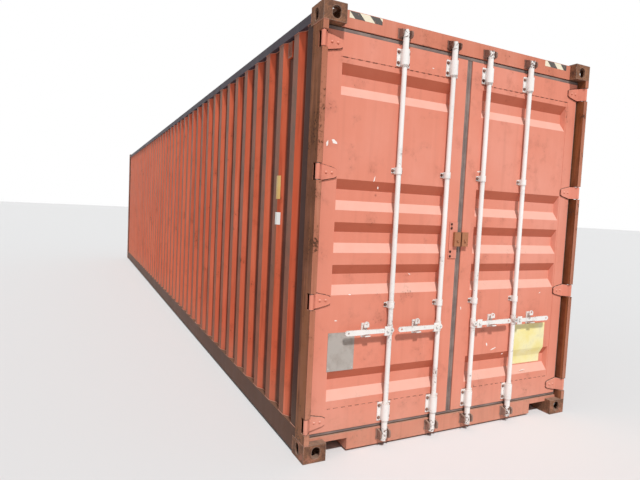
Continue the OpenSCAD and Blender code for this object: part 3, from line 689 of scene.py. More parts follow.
# Mesh building


def placed(name: str, data: bpy.types.ID) -> bpy.types.Object:
    """Put a new object in the scene.

    Args:
        name: Its name.
        data: Its mesh, light or camera.

    Returns:
        The object.
    """
    piece = bpy.data.objects.new(name, data)
    bpy.context.scene.collection.objects.link(piece)
    return piece


def oval(steps: int, wide: float, deep: float, start: float = 0.0) -> list[tuple[float, float]]:
    """Points round an oval from a starting bearing, with the first one again at the end."""
    turns = [start + 2 * math.pi * k / steps for k in range(steps + 1)]
    return [(wide * math.cos(turn), deep * math.sin(turn)) for turn in turns]


class Shape:
    """A mesh under construction, with the few forms that the fittings need."""

    def __init__(self, name: str) -> None:
        """Start an empty mesh."""
        self.name = name
        self.mesh = bmesh.new()

    def slab(self, low: Point, high: Point, bevel: float) -> None:
        """Add a block with rounded edges.

        Args:
            low: Lowest corner.
            high: Highest corner.
            bevel: Radius of the edges.
        """
        centre = Vector([(a + b) / 2 for a, b in zip(low, high)])
        size = Matrix.Diagonal([b - a for a, b in zip(low, high)] + [1.0])
        made = bmesh.ops.create_cube(self.mesh, size=1.0, matrix=Matrix.Translation(centre) @ size)
        edges = {e for v in made["verts"] for e in v.link_edges}
        bmesh.ops.bevel(self.mesh, geom=list(edges), offset=bevel, segments=2, affect="EDGES", profile=0.6)

    def _skin(self, rings: Sequence[Sequence[Vector]]) -> None:
        """Join rings of points into a closed form.

        Args:
            rings: Rings with equally many points, from one end to the other.
        """
        loops = [[self.mesh.verts.new(point) for point in ring] for ring in rings]
        for lower, upper in zip(loops, loops[1:]):
            for i in range(len(lower)):
                j = (i + 1) % len(lower)
                self.mesh.faces.new((lower[i], lower[j], upper[j], upper[i]))
        self.mesh.faces.new(loops[0][::-1])
        self.mesh.faces.new(loops[-1])

    def turned(self, place: Point, axis: Point, profile: Sequence[tuple[float, float]],
               sides: int, angle: float = 0.0) -> None:
        """Add a turned form.

        Args:
            place: Start of the axis.
            axis: Direction of the axis.
            profile: Radius and distance along the axis of each ring, from one end to the other.
            sides: Number of sides of each ring.
            angle: Turn of the rings about the axis.
        """
        turn = Vector((0, 0, 1)).rotation_difference(Vector(axis)).to_matrix().to_4x4()
        base = Matrix.Translation(Vector(place)) @ turn
        self._skin([[base @ Vector((a, b, along)) for a, b in oval(sides, radius, radius, angle)[:-1]]
                    for radius, along in profile])

    def bolt(self, place: Point, across: float, seed: int) -> None:
        """Add a hexagon bolt head that stands out along X, with its washer and a domed end.

        Args:
            place: Point on the face that the washer lies on.
            across: Width of the head.
            seed: Number that turns the head a little differently.
        """
        lift = across * 0.12
        washer = [(across * 0.78, 0.0), (across * 0.80, across * 0.06), (across * 0.74, lift)]
        head = [(across * 0.56, lift), (across * 0.577, lift + across * 0.05),
                (across * 0.577, lift + across * 0.40), (across * 0.50, lift + across * 0.50)]
        self.turned(place, OUTWARD, washer, 18)
        self.turned(place, OUTWARD, head, 6, 0.37 * seed)

    def dome(self, place: Point, axis: Point, radius: float) -> None:
        """Add a rivet or screw head."""
        steps = [(radius * math.cos(t), radius * 0.55 * math.sin(t)) for t in (0.0, 0.4, 0.8, 1.2, 1.45)]
        self.turned(place, axis, steps, 12)

    def tube(self, path: Sequence[Point], radius: float, wobble: float = 0.0, seed: int = 1,
             sides: int = BEAD_SIDES) -> None:
        """Add a round bead along a path of points.

        Args:
            path: Points in order.
            radius: Radius of the bead.
            wobble: Share of the radius by which it varies.
            seed: Seed of the variation.
            sides: Number of sides.
        """
        rand = random.Random(seed)
        points = [Vector(p) for p in path]
        rings = []
        for i, point in enumerate(points):
            ahead = points[min(i + 1, len(points) - 1)] - points[max(i - 1, 0)]
            turn = Vector((0, 0, 1)).rotation_difference(ahead.normalized()).to_matrix()
            here = radius * (1 + wobble * (rand.random() - 0.5) * 2)
            rings.append([point + turn @ Vector((a, b, 0)) for a, b in oval(sides, here, here)[:-1]])
        self._skin(rings)

    def bead(self, start: Point, end: Point, radius: float, steps: int, wobble: float, seed: int) -> None:
        """Add a straight, slightly uneven bead in that many steps."""
        a, b = Vector(start), Vector(end)
        self.tube([a.lerp(b, i / steps) for i in range(steps + 1)], radius, wobble, seed)

    def _film(self, back: Sequence[Sequence[Vector]], face: Sequence[Sequence[Vector]]) -> None:
        """Close a thin film between two grids of points.

        Args:
            back: Rows of points on the back.
            face: The same rows on the face.
        """
        low, top = ([[self.mesh.verts.new(point) for point in row] for row in grid] for grid in (back, face))
        for rows, turned_over in ((low, True), (top, False)):
            for a, b in zip(rows, rows[1:]):
                for k in range(len(a) - 1):
                    quad = [a[k], b[k], b[k + 1], a[k + 1]]
                    self.mesh.faces.new(quad[::-1] if turned_over else quad)
        end, last = len(back) - 1, len(back[0]) - 1
        rim = ([(i, 0) for i in range(end)] + [(end, k) for k in range(last)]
               + [(i, last) for i in range(end, 0, -1)] + [(0, k) for k in range(last, 0, -1)])
        for (i, k), (j, m) in zip(rim, rim[1:] + rim[:1]):
            self.mesh.faces.new((low[i][k], low[j][m], top[j][m], top[i][k]))

    def sheet(self, corners: Sequence[Point], thickness: Point, steps: int) -> None:
        """Add a thin film between four corners.

        Args:
            corners: Four corners in order.
            thickness: Vector from the back of the film to its face.
            steps: Number of divisions each way.
        """
        a, b, c, d = (Vector(p) for p in corners)
        shares = [i / steps for i in range(steps + 1)]
        back = [[(a * (1 - u) + b * u) * (1 - v) + (d * (1 - u) + c * u) * v for v in shares]
                for u in shares]
        self._film(back, [[point + Vector(thickness) for point in row] for row in back])

    def draped(self, line: Sequence[tuple[float, float]], first: float, last: float,
               rise: float, steps: int) -> None:
        """Add a film that follows a line in X and Z, swept across the width.

        Args:
            line: X and Z of the surface below, from the top down.
            first: Y of one edge.
            last: Y of the other edge.
            rise: Thickness, towards +X.
            steps: Divisions across.
        """
        ripple = 0.0004
        across = [(first + (last - first) * i / steps, ripple * (i % 3 == 1)) for i in range(steps + 1)]
        self._film([[Vector((x, y, z)) for x, z in line] for y, _ in across],
                   [[Vector((x + rise + lift, y, z)) for x, z in line] for y, lift in across])

    def patch(self, rim: Sequence[Point], middle: Point, face: float, rise: float) -> None:
        """Add a thin irregular patch on a face that looks along X.

        Args:
            rim: Points round the patch; their X isn't used.
            middle: Point inside it.
            face: X of the surface below.
            rise: Thickness of the patch.
        """
        hub = self.mesh.verts.new((face + rise, middle[1], middle[2]))
        top = [self.mesh.verts.new((face + rise * 0.6, p[1], p[2])) for p in rim]
        low = [self.mesh.verts.new((face, p[1], p[2])) for p in rim]
        for i in range(len(rim)):
            j = (i + 1) % len(rim)
            self.mesh.faces.new((hub, top[i], top[j]))
            self.mesh.faces.new((top[i], low[i], low[j], top[j]))
        self.mesh.faces.new(list(reversed(low)))

    def finish(self, body: str, coat: Finish, smooth: bool = True) -> None:
        """Turn the mesh into a piece that rides on a body.

        Args:
            body: Body that carries the piece.
            coat: Its finish.
            smooth: Whether faces that meet at a small angle are shaded smoothly.
        """
        bmesh.ops.recalc_face_normals(self.mesh, faces=self.mesh.faces)
        data = bpy.data.meshes.new(self.name)
        self.mesh.to_mesh(data)
        self.mesh.free()
        data.materials.append(coat.material)
        piece = placed(self.name, data)
        if smooth:
            smoothed(data, 35)
        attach(piece, body)
        LOG.info("%s on %s: %d faces", self.name, body, len(data.polygons))


def smoothed(data: bpy.types.Mesh, degrees: float) -> None:
    """Shade a mesh smoothly where its faces meet at less than an angle."""
    data.polygons.foreach_set("use_smooth", [True] * len(data.polygons))
    data.set_sharp_from_angle(angle=math.radians(degrees))


# Sub-assemblies


@dataclass
class Assembly:
    """Common ground of the sub-assemblies: the body that their pieces ride on."""

    body: str = "container"

    def build(self) -> None:
        """Add the pieces of the sub-assembly."""

    def dress(self) -> None:
        """Give the sub-assembly's CAD nodes their finish."""

    def wear(self, *nodes: str) -> None:
        """Assign finishes to CAD nodes.

        Args:
            nodes: Names of the nodes.
        """
        for name in nodes:
            material = Finish.of_node(name).material
            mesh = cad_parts[name].data
            mesh.materials.clear()
            mesh.materials.append(material)
            smoothed(mesh, 32)
            LOG.info("%s wears %s", name, material.name)

    def rivets(self, name: str, places: Iterable[Point], axis: Point, radius: float,
               coat: Finish) -> None:
        """Add one piece of rivet heads.

        Args:
            name: The piece's name.
            places: Middle of each head, on the face below.
            axis: Direction in which they stand out.
            radius: Their radius.
            coat: Their finish.
        """
        shape = Shape(name)
        for place in places:
            shape.dome(place, axis, radius)
        shape.finish(self.body, coat)


@dataclass
class Shell(Assembly):
    """Fixed frame, walls and roof, with their weld beads."""

    bead: float = 0.0035
    post_weld: tuple[float, float] = (0.183, 2.800)
    fitting_long: float = 0.178
    fitting_joint: float = 0.1195
    fitting_step: float = 0.012
    rail_joints: tuple[tuple[float, float], ...] = ((0.022, 0.117), (2.806, 2.864))
    wall_joints: tuple[float, float] = (0.1805, 2.8035)
    crest: float = 0.084
    slope: float = 0.060
    trough: float = 0.074
    first_trough: tuple[float, float] = (5.802, 5.780)
    crests: int = 42

    def dress(self) -> None:
        """Give frame, walls, roof and base their finishes."""
        self.wear("top_corner_fittings", "bottom_corner_fittings", "rear_corner_posts",
                  "rear_post_liners", "front_corner_posts", "door_header", "door_sill",
                  "bottom_side_rails", "top_side_rails", "left_side_wall", "right_side_wall",
                  "front_wall", "front_header", "front_sill", "roof_sheet_panels",
                  "roof_doubler_plates", "crossmembers", "gooseneck_tunnel", "floor_side_angles")

    def build(self) -> None:
        """Add the welds."""
        self._post_welds()
        self._fitting_welds()
        self._wall_welds()

    def _line(self, shape: Shape, start: Point, end: Point, seed: int, step: float) -> None:
        """Lay one straight bead, with a ring at each step."""
        count = max(2, int((Vector(end) - Vector(start)).length / step))
        shape.bead(start, end, self.bead, count, 0.28, seed)

    def _post_welds(self) -> None:
        """Upright beads where wall sheet and posts meet."""
        shape = Shape("post_edge_welds")
        for side in Side:
            for end in (1, -1):
                low, high = (side.corner(end * (POST_EDGE - 0.001), 0.0065, z) for z in self.post_weld)
                self._line(shape, low, high, 7 * side.value + end, 0.06)
        shape.finish(self.body, Finish.WELD)

    def _fitting_welds(self) -> None:
        """Beads round the joints of corner fittings with posts and rails."""
        shape = Shape("fitting_welds")
        step = self.fitting_step
        for side in Side:
            for end in (1, -1):
                for z in (self.fitting_joint, HEIGHT - self.fitting_joint):
                    self._line(shape, side.corner(end * (HALF_LENGTH - 0.003), 0.0015, z),
                               side.corner(end * (HALF_LENGTH - 0.138), 0.0015, z), int(z * 10) + end, step)
                    x, wide = end * (HALF_LENGTH - 0.0015), 0.036 if end > 0 else 0.092
                    self._line(shape, side.corner(x, 0.003, z), side.corner(x, wide, z), int(z * 9), step)
                x = end * (HALF_LENGTH - self.fitting_long - 0.001)
                for low, high in self.rail_joints:
                    self._line(shape, side.corner(x, 0.0025, low), side.corner(x, 0.0025, high),
                               int(low * 99) + end, step)
        shape.finish(self.body, Finish.WELD)

    def _wall_welds(self) -> None:
        """Long beads along the corrugated edge of the side walls, at top and bottom."""
        shape = Shape("wall_edge_welds")
        for side in Side:
            for z in self.wall_joints:
                path = [side.corner(x, 0.0055 + deep, z) for x, deep in self._wall_line()]
                shape.tube(path, self.bead * 0.85, 0.2, 3)
        shape.finish(self.body, Finish.WELD)

    def _wall_line(self) -> list[tuple[float, float]]:
        """Corners of the wall's outer line.

        Returns:
            Place along the length and depth of each corner, from the doors to the front.
        """
        near, far = self.first_trough
        line = [(POST_EDGE, 0.0), (near + self.slope, 0.0), (near, WALL_DEPTH), (far, WALL_DEPTH)]
        pitch = self.crest + self.trough + 2 * self.slope
        for k in range(self.crests):
            x = far - self.slope - pitch * k
            end = x - self.crest
            line += [(x, 0.0), (end, 0.0), (end - self.slope, WALL_DEPTH),
                     (end - self.slope - self.trough, WALL_DEPTH)]
        return line + [(-POST_EDGE, 0.0)]


@dataclass
class WallFittings(Assembly):
    """Small things on the walls: rivets on the ventilators and two bare films."""

    vent_in: float = 0.035
    vent_height: float = 2.737
    vent_rivets: tuple[float, float] = (0.0305, 0.049)
    sticker_edge: float = 5.4416
    sticker_wide: float = 0.030

    def dress(self) -> None:
        """Finish the ventilator covers."""
        self.wear("side_vents")

    def build(self) -> None:
        """Add rivets on the vents and the bare stickers."""
        self._vent_rivets()
        self._sticker("amber_sticker", 1.690, 1.860, 0.021, Finish.AMBER)
        self._sticker("pale_sticker", 1.502, 1.592, 0.029, Finish.WHITE)

    def _vent_rivets(self) -> None:
        """Four rivets at the corners of each ventilator cover."""
        shape = Shape("vent_rivets")
        low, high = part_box("side_vents")
        wide, tall = self.vent_rivets
        for side in Side:
            x = high.x - self.vent_in if side is Side.RIGHT else low.x + self.vent_in
            for dx in (-wide, wide):
                for dz in (-tall, tall):
                    shape.dome(side.corner(x + dx, 0.019, self.vent_height + dz), (0, side.value, 0), 0.0032)
        shape.finish(self.body, Finish.ZINC)

    def _sticker(self, name: str, low: float, high: float, reach: float, coat: Finish) -> None:
        """One bare film on the first corrugation of the left wall, bent over its edge.

        Args:
            name: Name of the piece.
            low: Height of its lower edge.
            high: Height of its upper edge.
            reach: How far it goes down the slope.
            coat: Its finish.
        """
        shape = Shape(name)
        x, y = self.sticker_edge, -WALL_FLAT
        near, middle, far = (x + reach, y + reach * 0.6), (x, y), (x - self.sticker_wide, y)
        for a, b, thickness in ((near, middle, (0.0003, -0.0006, 0)), (middle, far, (0, -0.0007, 0))):
            shape.sheet([(*a, low), (*b, low), (*b, high), (*a, high)], thickness, 4)
        shape.finish(self.body, coat)


@dataclass
class DoorFrameFittings(Assembly):
    """Things on header, sill and posts: hazard stripes and the welds of keepers and hinge lugs."""

    stripe_ends: tuple[float, float] = (1.010, 0.764)
    stripe_heights: tuple[float, float] = (2.842, 2.884)
    keeper_half: float = 0.052
    keeper_heights: tuple[tuple[float, float], ...] = ((2.783, 2.850), (0.048, 0.125))

    def dress(self) -> None:
        """Finish keepers and hinge pins."""
        self.wear("cam_keepers", "hinge_pins")

    def build(self) -> None:
        """Add stripes and welds."""
        self._stripes()
        self._keeper_welds()
        self._lug_welds()

    def _stripes(self) -> None:
        """Two fields of slanting bands on the header."""
        low, high = self.stripe_heights
        for side in Side:
            shape = Shape(f"hazard_stripes_{side.word}")
            a, b = (side.value * end for end in self.stripe_ends)
            corners = [(DOOR_FACE, y, z) for y, z in ((a, low), (b, low), (b, high), (a, high))]
            shape.sheet(corners, (0.0005, 0, 0), 8)
            shape.finish(self.body, Finish.STRIPES)

    def _keeper_welds(self) -> None:
        """Beads round the base plates of the keepers."""
        shape = Shape("keeper_welds")
        for y in sorted(sign * bar for bar in BARS for sign in (-1, 1)):
            a, b = y - self.keeper_half, y + self.keeper_half
            for low, high in self.keeper_heights:
                corners = [(DOOR_FACE + 0.001, y, z) for y, z in ((a, low), (b, low), (b, high), (a, high))]
                for i in range(4):
                    shape.bead(corners[i], corners[(i + 1) % 4], 0.0026, 6, 0.3, i)
        shape.finish(self.body, Finish.WELD)

    def _lug_welds(self) -> None:
        """Beads where the hinge lugs meet the posts' inner faces."""
        shape = Shape("lug_welds")
        near, far = HALF_LENGTH - 0.012, HALF_LENGTH - 0.052
        for side in Side:
            for z in HINGES:
                for d in (-1, 1):
                    level = z + d * 0.060
                    shape.bead(side.corner(near, 0.0335, level), side.corner(far, 0.0335, level), 0.0028, 6,
                               0.3, int(z * 100) + d)
        shape.finish(self.body, Finish.WELD)


@dataclass
class Floor(Assembly):
    """Floor boards with their screws, and the lashing rings inside."""

    rows: tuple[float, ...] = (-1.10, -0.60, -0.30, 0.0, 0.30, 0.60, 1.10)
    screws_from: float = -5.80
    screws_to: float = 5.86
    screw_pitch: float = 0.30
    tunnel_end: float = -2.78
    tunnel_half: float = 0.52
    ring_out: float = 1.158
    rings: int = 9
    rings_from: float = -5.2
    ring_pitch: float = 1.3

    def dress(self) -> None:
        """Finish the boards."""
        self.wear("floor_boards")

    def build(self) -> None:
        """Add screws and rings."""
        self._screws()
        self._rings()

    def _screws(self) -> None:
        """Rows of flat screw heads over the cross members."""
        shape = Shape("floor_screws")
        head = [(0.0062, 0.0), (0.0060, 0.0008), (0.0035, 0.0010)]
        x = self.screws_from
        while x < self.screws_to:
            for y in self.rows:
                if x > self.tunnel_end or abs(y) > self.tunnel_half:
                    shape.turned((x, y, FLOOR_TOP), (0, 0, 1), head, 8)
            x += self.screw_pitch
        shape.finish(self.body, Finish.STEEL)

    def _rings(self) -> None:
        """Lashing rings along the floor angles."""
        shape = Shape("lashing_rings")
        for side in Side:
            y = side.value * self.ring_out
            for i in range(self.rings):
                x = self.rings_from + i * self.ring_pitch
                ring = [(x + a, y, FLOOR_TOP + 0.022 + b) for a, b in oval(16, 0.026, 0.018)]
                shape.tube(ring, 0.0045, sides=8)
                shape.slab((x - 0.018, y - 0.006, FLOOR_TOP),
                           (x + 0.018, y + 0.006, FLOOR_TOP + 0.010), 0.002)
        shape.finish(self.body, Finish.GEAR)


@dataclass
class Door(Assembly):
    """One door leaf with its blades, brackets, catches, seal and marks."""

    side: Side = Side.LEFT
    blade_face: float = DOOR_FACE + 0.010
    blade_rivets: tuple[float, float] = (0.090, 0.132)
    catch_face: float = DOOR_FACE + 0.004
    catch_out: float = 0.192
    catch_rivets: tuple[float, float] = (0.790, 0.870)
    bracket_faces: tuple[float, float] = (DOOR_FACE + 0.006, DOOR_FACE + 0.003)
    large_brackets: tuple[float, ...] = (2.626, 2.697, 0.204, 0.290)
    small_brackets: tuple[float, ...] = (0.998, 1.912)
    bracket_bolt: float = 0.015
    strip_wide: float = 0.025
    strip_thick: float = 0.003
    lip_faces: tuple[float, float] = (DOOR_FACE - 0.014, DOOR_FACE - 0.006)
    plate_rivets: tuple[tuple[float, float], ...] = ((1.041, 0.861), (0.581, 0.818))
    lock_face: float = DOOR_FACE + 0.026
    lock_heads: tuple[float, ...] = (1.332, 1.366, 1.536, 1.566)
    stitches: tuple[float, float] = (2.5965, 0.3145)
    stitched: tuple[float, float] = (0.130, 1.046)
    film: tuple[float, float] = (0.642, 0.984)
    scuffs: tuple[tuple[float, float, float, float, float], ...] = ()

    def at(self, x: float, y: float, z: float) -> Point:
        """A point with its distance from the middle of the doors on this side."""
        return (x, self.side.value * y, z)

    def block(self, shape: Shape, low: Point, high: Point, bevel: float) -> None:
        """Add a block given with distances from the middle."""
        near, far = sorted((self.side.value * low[1], self.side.value * high[1]))
        shape.slab((low[0], near, low[2]), (high[0], far, high[2]), bevel)

    def dress(self) -> None:
        """Give the leaf and its gear their finishes."""
        self.wear(*(f"{self.side.word}_{part}" for part in (
            "door_frame", "door_panel", "door_gasket", "hinge_blades", "bar_brackets",
            "handle_catches", "lock_plate", "outer_bar", "inner_bar", "outer_handle",
            "inner_handle")))
        if self.side is Side.LEFT:
            self.wear("left_data_plate")

    def build(self) -> None:
        """Add fasteners, seal strips, welds and marks."""
        word = self.side.word
        self.rivets(f"{word}_blade_rivets", [self.at(self.blade_face, HALF_WIDTH - s, z) for z in HINGES
                                             for s in self.blade_rivets], OUTWARD, 0.0095, Finish.DOOR)
        self._bracket_bolts()
        self.rivets(f"{word}_catch_rivets", [self.at(self.catch_face, y + self.catch_out + dy, z)
                                             for y in BARS for dy in (-0.016, 0.016)
                                             for z in self.catch_rivets], OUTWARD, 0.0055, Finish.GEAR)
        self._seal_strips()
        self._seal_lips()
        self._blade_edges()
        self._leaf_welds()
        self._scuffs()
        self._lock_bolts()
        if self.side is Side.LEFT:
            across, up = self.plate_rivets
            self.rivets("data_plate_rivets", [self.at(DOOR_FACE, y, z) for y in across for z in up],
                        OUTWARD, 0.005, Finish.ZINC)
        else:
            self._yellow_sticker()

    def _bracket_bolts(self) -> None:
        """Bolts on each bearing bracket of the bars, wider apart on the four large ones."""
        shape = Shape(f"{self.side.word}_bracket_bolts")
        thick, thin = self.bracket_faces
        large = [(z, thick, 0.040) for z in self.large_brackets]
        small = [(z, thin, 0.034) for z in self.small_brackets]
        for y in BARS:
            for z, face, reach in large + small:
                for dy in (-reach, reach):
                    shape.bolt(self.at(face, y + dy, z), self.bracket_bolt, int(z * 1000 + dy * 100))
        shape.finish(self.body, Finish.KEEPER)

    def _seal_strips(self) -> None:
        """Flat strips that hold the seal on the back of the leaf, with their rivets."""
        shape = Shape(f"{self.side.word}_seal_strips")
        back, front, wide = LEAF_LOW[0] - self.strip_thick, LEAF_LOW[0], self.strip_wide
        low, high = LEAF_LOW[2] + 0.007, LEAF_HIGH[2] - 0.007
        inner, outer = LEAF_LOW[1] + 0.006, LEAF_HIGH[1] - 0.006
        heads = []
        for z in (low, high - wide):
            self.block(shape, (back, inner, z), (front, outer, z + wide), 0.0008)
            heads += [self.at(back, inner + 0.05 + i * (outer - inner - 0.1) / 7, z + wide / 2)
                      for i in range(8)]
        for y in (inner, outer - wide):
            self.block(shape, (back, y, low + 0.026), (front, y + wide, high - 0.026), 0.0008)
            heads += [self.at(back, y + wide / 2, low + 0.1 + i * (high - low - 0.2) / 15)
                      for i in range(16)]
        shape.finish(self.body, Finish.STEEL)
        self.rivets(f"{self.side.word}_seal_rivets", heads, (-1, 0, 0), 0.0045, Finish.ZINC)

    def _seal_lips(self) -> None:
        """Soft outer lip of the seal, which fills the gap round the leaf."""
        shape = Shape(f"{self.side.word}_seal_lips")
        back, front = self.lip_faces
        inner, outer, low, high = 0.0006, 1.1715, 0.1425, 2.7725
        for z0, z1 in ((low, 0.162), (2.749, high)):
            self.block(shape, (back, inner, z0), (front, outer, z1), 0.003)
        for y0, y1 in ((inner, LEAF_LOW[1] - 0.001), (LEAF_HIGH[1] + 0.001, outer)):
            self.block(shape, (back, y0, low + 0.021), (front, y1, high - 0.025), 0.003)
        shape.finish(self.body, Finish.SEAL)

    def _blade_edges(self) -> None:
        """Rusty seam round each hinge blade where it lies on the leaf."""
        shape = Shape(f"{self.side.word}_blade_seams")
        upper = [(0.062, 0.049), (0.070, 0.0485), (0.150, 0.0305), (0.1685, 0.0205)]
        line = upper + [(s, -v) for s, v in reversed(upper)]
        for z in HINGES:
            path: list[Point] = []
            for (s0, v0), (s1, v1) in zip(line, line[1:]):
                steps = max(1, round(math.hypot(s1 - s0, v1 - v0) / 0.012))
                path += [self.at(DOOR_FACE + 0.0005, HALF_WIDTH - s0 - (s1 - s0) * t / steps,
                                 z + v0 + (v1 - v0) * t / steps) for t in range(steps)]
            shape.tube(path, 0.0042, 0.4, int(z * 100))
        shape.finish(self.body, Finish.SEAM)

    def _leaf_welds(self) -> None:
        """Stitch welds along the upper and lower rail of the leaf."""
        shape = Shape(f"{self.side.word}_panel_welds")
        rand = random.Random(5 + self.side.value)
        x = PANEL_FACE + 0.0006
        first, last = self.stitched
        for z in self.stitches:
            y = first
            while y < last:
                long = 0.022 + 0.014 * rand.random()
                shape.bead(self.at(x, y, z), self.at(x, y + long, z), 0.0028, 4, 0.35, int(y * 1000))
                y += long + 0.022 + 0.008 * rand.random()
        shape.finish(self.body, Finish.STITCH)

    def _scuffs(self) -> None:
        """Pale scrapes on the door's paint."""
        shape = Shape(f"{self.side.word}_scuffs")
        rand = random.Random(21 + self.side.value)
        for y, z, long, wide, turn in self.scuffs:
            rim = []
            for a, b in oval(14, long, wide)[:-1]:
                reach = 0.72 + 0.5 * rand.random()
                u, v = a * reach, b * reach
                rim.append(self.at(0.0, y + u * math.cos(turn) - v * math.sin(turn),
                                   z + u * math.sin(turn) + v * math.cos(turn)))
            on_frame = not (PANEL_LOW[1] < y < PANEL_HIGH[1] and PANEL_LOW[2] < z < PANEL_HIGH[2])
            shape.patch(rim, self.at(0.0, y, z), DOOR_FACE if on_frame else PANEL_FACE, 0.0005)
        shape.finish(self.body, Finish.SCUFF, smooth=False)

    def _lock_bolts(self) -> None:
        """Bolt on the lock box, and on the left door the rusty heads in its backing plate."""
        shape = Shape(f"{self.side.word}_lock_bolts")
        shape.bolt(self.at(self.lock_face, 0.034, 1.446), self.bracket_bolt, 3)
        if self.side is Side.LEFT:
            heads = Shape("left_lock_plate_heads")
            for z in self.lock_heads:
                heads.bolt(self.at(DOOR_FACE + 0.0002, 0.083, z), 0.017, int(z * 1000))
            heads.finish(self.body, Finish.SEAM)
        shape.finish(self.body, Finish.HASP)

    def _yellow_sticker(self) -> None:
        """Bare yellow film on the lower panel of the right door, down into the trough."""
        shape = Shape("yellow_sticker")
        line = [(PANEL_FACE, 0.778), (PANEL_FACE, 0.572), (PANEL_FACE - 0.001, 0.5665),
                (6.0012, 0.505), (6.0001, 0.500), (6.0001, 0.441)]
        first, last = (self.side.value * y for y in self.film)
        shape.draped(line, first, last, 0.0014, 10)
        shape.finish(self.body, Finish.YELLOW)


@dataclass
class LockingBar(Assembly):
    """Fasteners and welds that turn with one bar."""

    place: float = 0.0
    axis_x: float = DOOR_FACE + 0.025
    weld_radius: float = 0.0178
    sleeve_ends: tuple[float, float] = (0.317, 2.600)

    def build(self) -> None:
        """Add weld rings on the bar, the pivot head and the bolted cheek of the handle."""
        rings = Shape(f"{self.body}_welds")
        for z in self.sleeve_ends + (HANDLE_HEIGHT - 0.034, HANDLE_HEIGHT + 0.034):
            path = [(self.axis_x + a, self.place + b, z)
                    for a, b in oval(24, self.weld_radius, self.weld_radius)]
            rings.tube(path, 0.0024, 0.3, int(z * 10))
        rings.finish(self.body, Finish.GEAR)
        name = self.body.removesuffix("_bar")
        pivot = Shape(f"{name}_pivot_head")
        pivot.turned((self.axis_x + 0.0314, self.place, HANDLE_HEIGHT), OUTWARD,
                     [(0.0068, -0.001), (0.0068, 0.0002), (0.0052, 0.0014)], 16)
        pivot.finish(self.body, Finish.STEEL)
        out = math.copysign(1.0, self.place)
        cheek = Shape(f"{name}_hub_cheek")
        root, tip = sorted((self.place + out * 0.012, self.place + out * 0.062))
        low, high = HANDLE_HEIGHT - 0.033, HANDLE_HEIGHT + 0.031
        cheek.slab((self.axis_x + 0.0302, root, low), (self.axis_x + 0.0332, tip, high), 0.0012)
        cheek.slab((self.axis_x + 0.0150, root, low), (self.axis_x + 0.0305, tip, low + 0.0045), 0.0008)
        cheek.finish(self.body, Finish.GEAR)
        nut = Shape(f"{name}_hub_nut")
        nut.bolt((self.axis_x + 0.0331, self.place + out * 0.037, HANDLE_HEIGHT + 0.002), 0.017,
                 int(abs(self.place) * 1000))
        nut.finish(self.body, Finish.GEAR)


# Studio


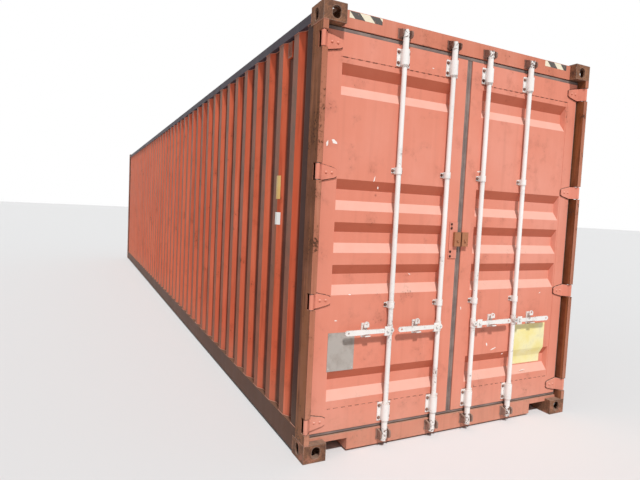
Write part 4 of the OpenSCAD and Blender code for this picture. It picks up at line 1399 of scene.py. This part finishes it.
@dataclass(frozen=True)
class Studio:
    """Pale floor, white surround, soft lights and the photo's camera."""

    camera_place: Point = (8.84025, -2.53257, 1.62964)
    bearing: float = 63.6263
    dip: float = 3.5762
    roll: float = 2.7321
    focal: float = 27.742
    white: Colour = (1.0, 1.0, 1.0)
    shade: Colour = (0.97, 0.98, 1.0)
    shade_strength: float = 0.29
    floor_grey: Colour = (0.70, 0.70, 0.70)

    def build(self) -> None:
        """Set up everything that isn't part of the container."""
        self._floor()
        self._surround()
        self._light("key_light", (1.0, -0.25, 1.35), strength=3.3, spread=5.0)
        self._light("side_fill", (0.2, -1.0, 0.6), strength=0.10, spread=40.0)
        self._camera()

    def _floor(self) -> None:
        """One plain pale floor under the container."""
        shape = bmesh.new()
        bmesh.ops.create_grid(shape, x_segments=8, y_segments=8, size=120.0)
        data = bpy.data.meshes.new("studio_floor")
        shape.to_mesh(data)
        shape.free()
        data.materials.append(Net("floor_finish").surface(self.floor_grey, 0.85,
                                                          more={"Specular IOR Level": 0.2}))
        piece = placed("studio_floor", data)
        piece.location.z = -0.001

    def _surround(self) -> None:
        """White background for the eye and for reflections, with dimmer light on the object."""
        world = bpy.data.worlds.new("surround")
        net = Net("surround", world)
        seen = net.node("ShaderNodeBackground", None, {"Color": self.white, "Strength": 1.0})
        lit = net.node("ShaderNodeBackground", None, {"Color": self.shade, "Strength": self.shade_strength})
        ray = net.node("ShaderNodeLightPath")
        direct = ray["Is Camera Ray"].larger(ray["Is Glossy Ray"]).larger(ray["Is Transmission Ray"])
        both = net.node("ShaderNodeMixShader", None, {0: direct, 1: lit["Background"],
                                                      2: seen["Background"]})["Shader"]
        net.node("ShaderNodeOutputWorld", None, {"Surface": both})
        bpy.context.scene.world = world

    @staticmethod
    def _light(name: str, towards: Point, strength: float, spread: float) -> None:
        """Add one distant soft light.

        Args:
            name: Name of the light.
            towards: Direction from the container to the light.
            strength: Its strength.
            spread: Apparent size in degrees, which softens the shadows.
        """
        data = bpy.data.lights.new(name, "SUN")
        data.energy = strength
        data.angle = math.radians(spread)
        lamp = placed(name, data)
        lamp.rotation_euler = (-Vector(towards)).to_track_quat("-Z", "Y").to_euler()

    def _camera(self) -> None:
        """Place the camera as the photo was taken."""
        bearing, dip, roll = (math.radians(a) for a in (self.bearing, self.dip, self.roll))
        ahead = Vector((-math.sin(bearing) * math.cos(dip), math.cos(bearing) * math.cos(dip),
                        -math.sin(dip)))
        right = ahead.cross(Vector((0, 0, 1))).normalized()
        up = right.cross(ahead)
        turned_right = math.cos(roll) * right + math.sin(roll) * up
        turned_up = -math.sin(roll) * right + math.cos(roll) * up
        pose = Matrix((turned_right, turned_up, -ahead)).transposed().to_4x4()
        data = bpy.data.cameras.new("photo_camera")
        data.lens = self.focal
        data.sensor_width = 36.0
        data.clip_end = 400.0
        camera = placed("photo_camera", data)
        camera.matrix_world = Matrix.Translation(Vector(self.camera_place)) @ pose
        bpy.context.scene.camera = camera
        bpy.context.scene.view_settings.view_transform = "Standard"


class Container:
    """The whole container: every sub-assembly, built and dressed."""

    def __init__(self) -> None:
        """Make the sub-assemblies."""
        self.assemblies: list[Assembly] = [
            Shell(), WallFittings(), DoorFrameFittings(), Floor(),
            Door("left_door", Side.LEFT, scuffs=LEFT_SCUFFS),
            Door("right_door", Side.RIGHT, scuffs=RIGHT_SCUFFS)]
        self.assemblies += [LockingBar(f"{side.word}_{which}_bar", side.value * place)
                            for side in Side for which, place in zip(("outer", "inner"), BARS)]

    def build(self) -> None:
        """Build every sub-assembly and dress its nodes."""
        for assembly in self.assemblies:
            LOG.info("assembly: %s", type(assembly).__name__)
            assembly.dress()
            assembly.build()


def main() -> None:
    """Dress the container and set up the studio."""
    logging.basicConfig(level=logging.INFO, format="%(name)s: %(message)s")
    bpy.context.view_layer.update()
    Container().build()
    Studio().build()


if __name__ == "__main__":
    main()
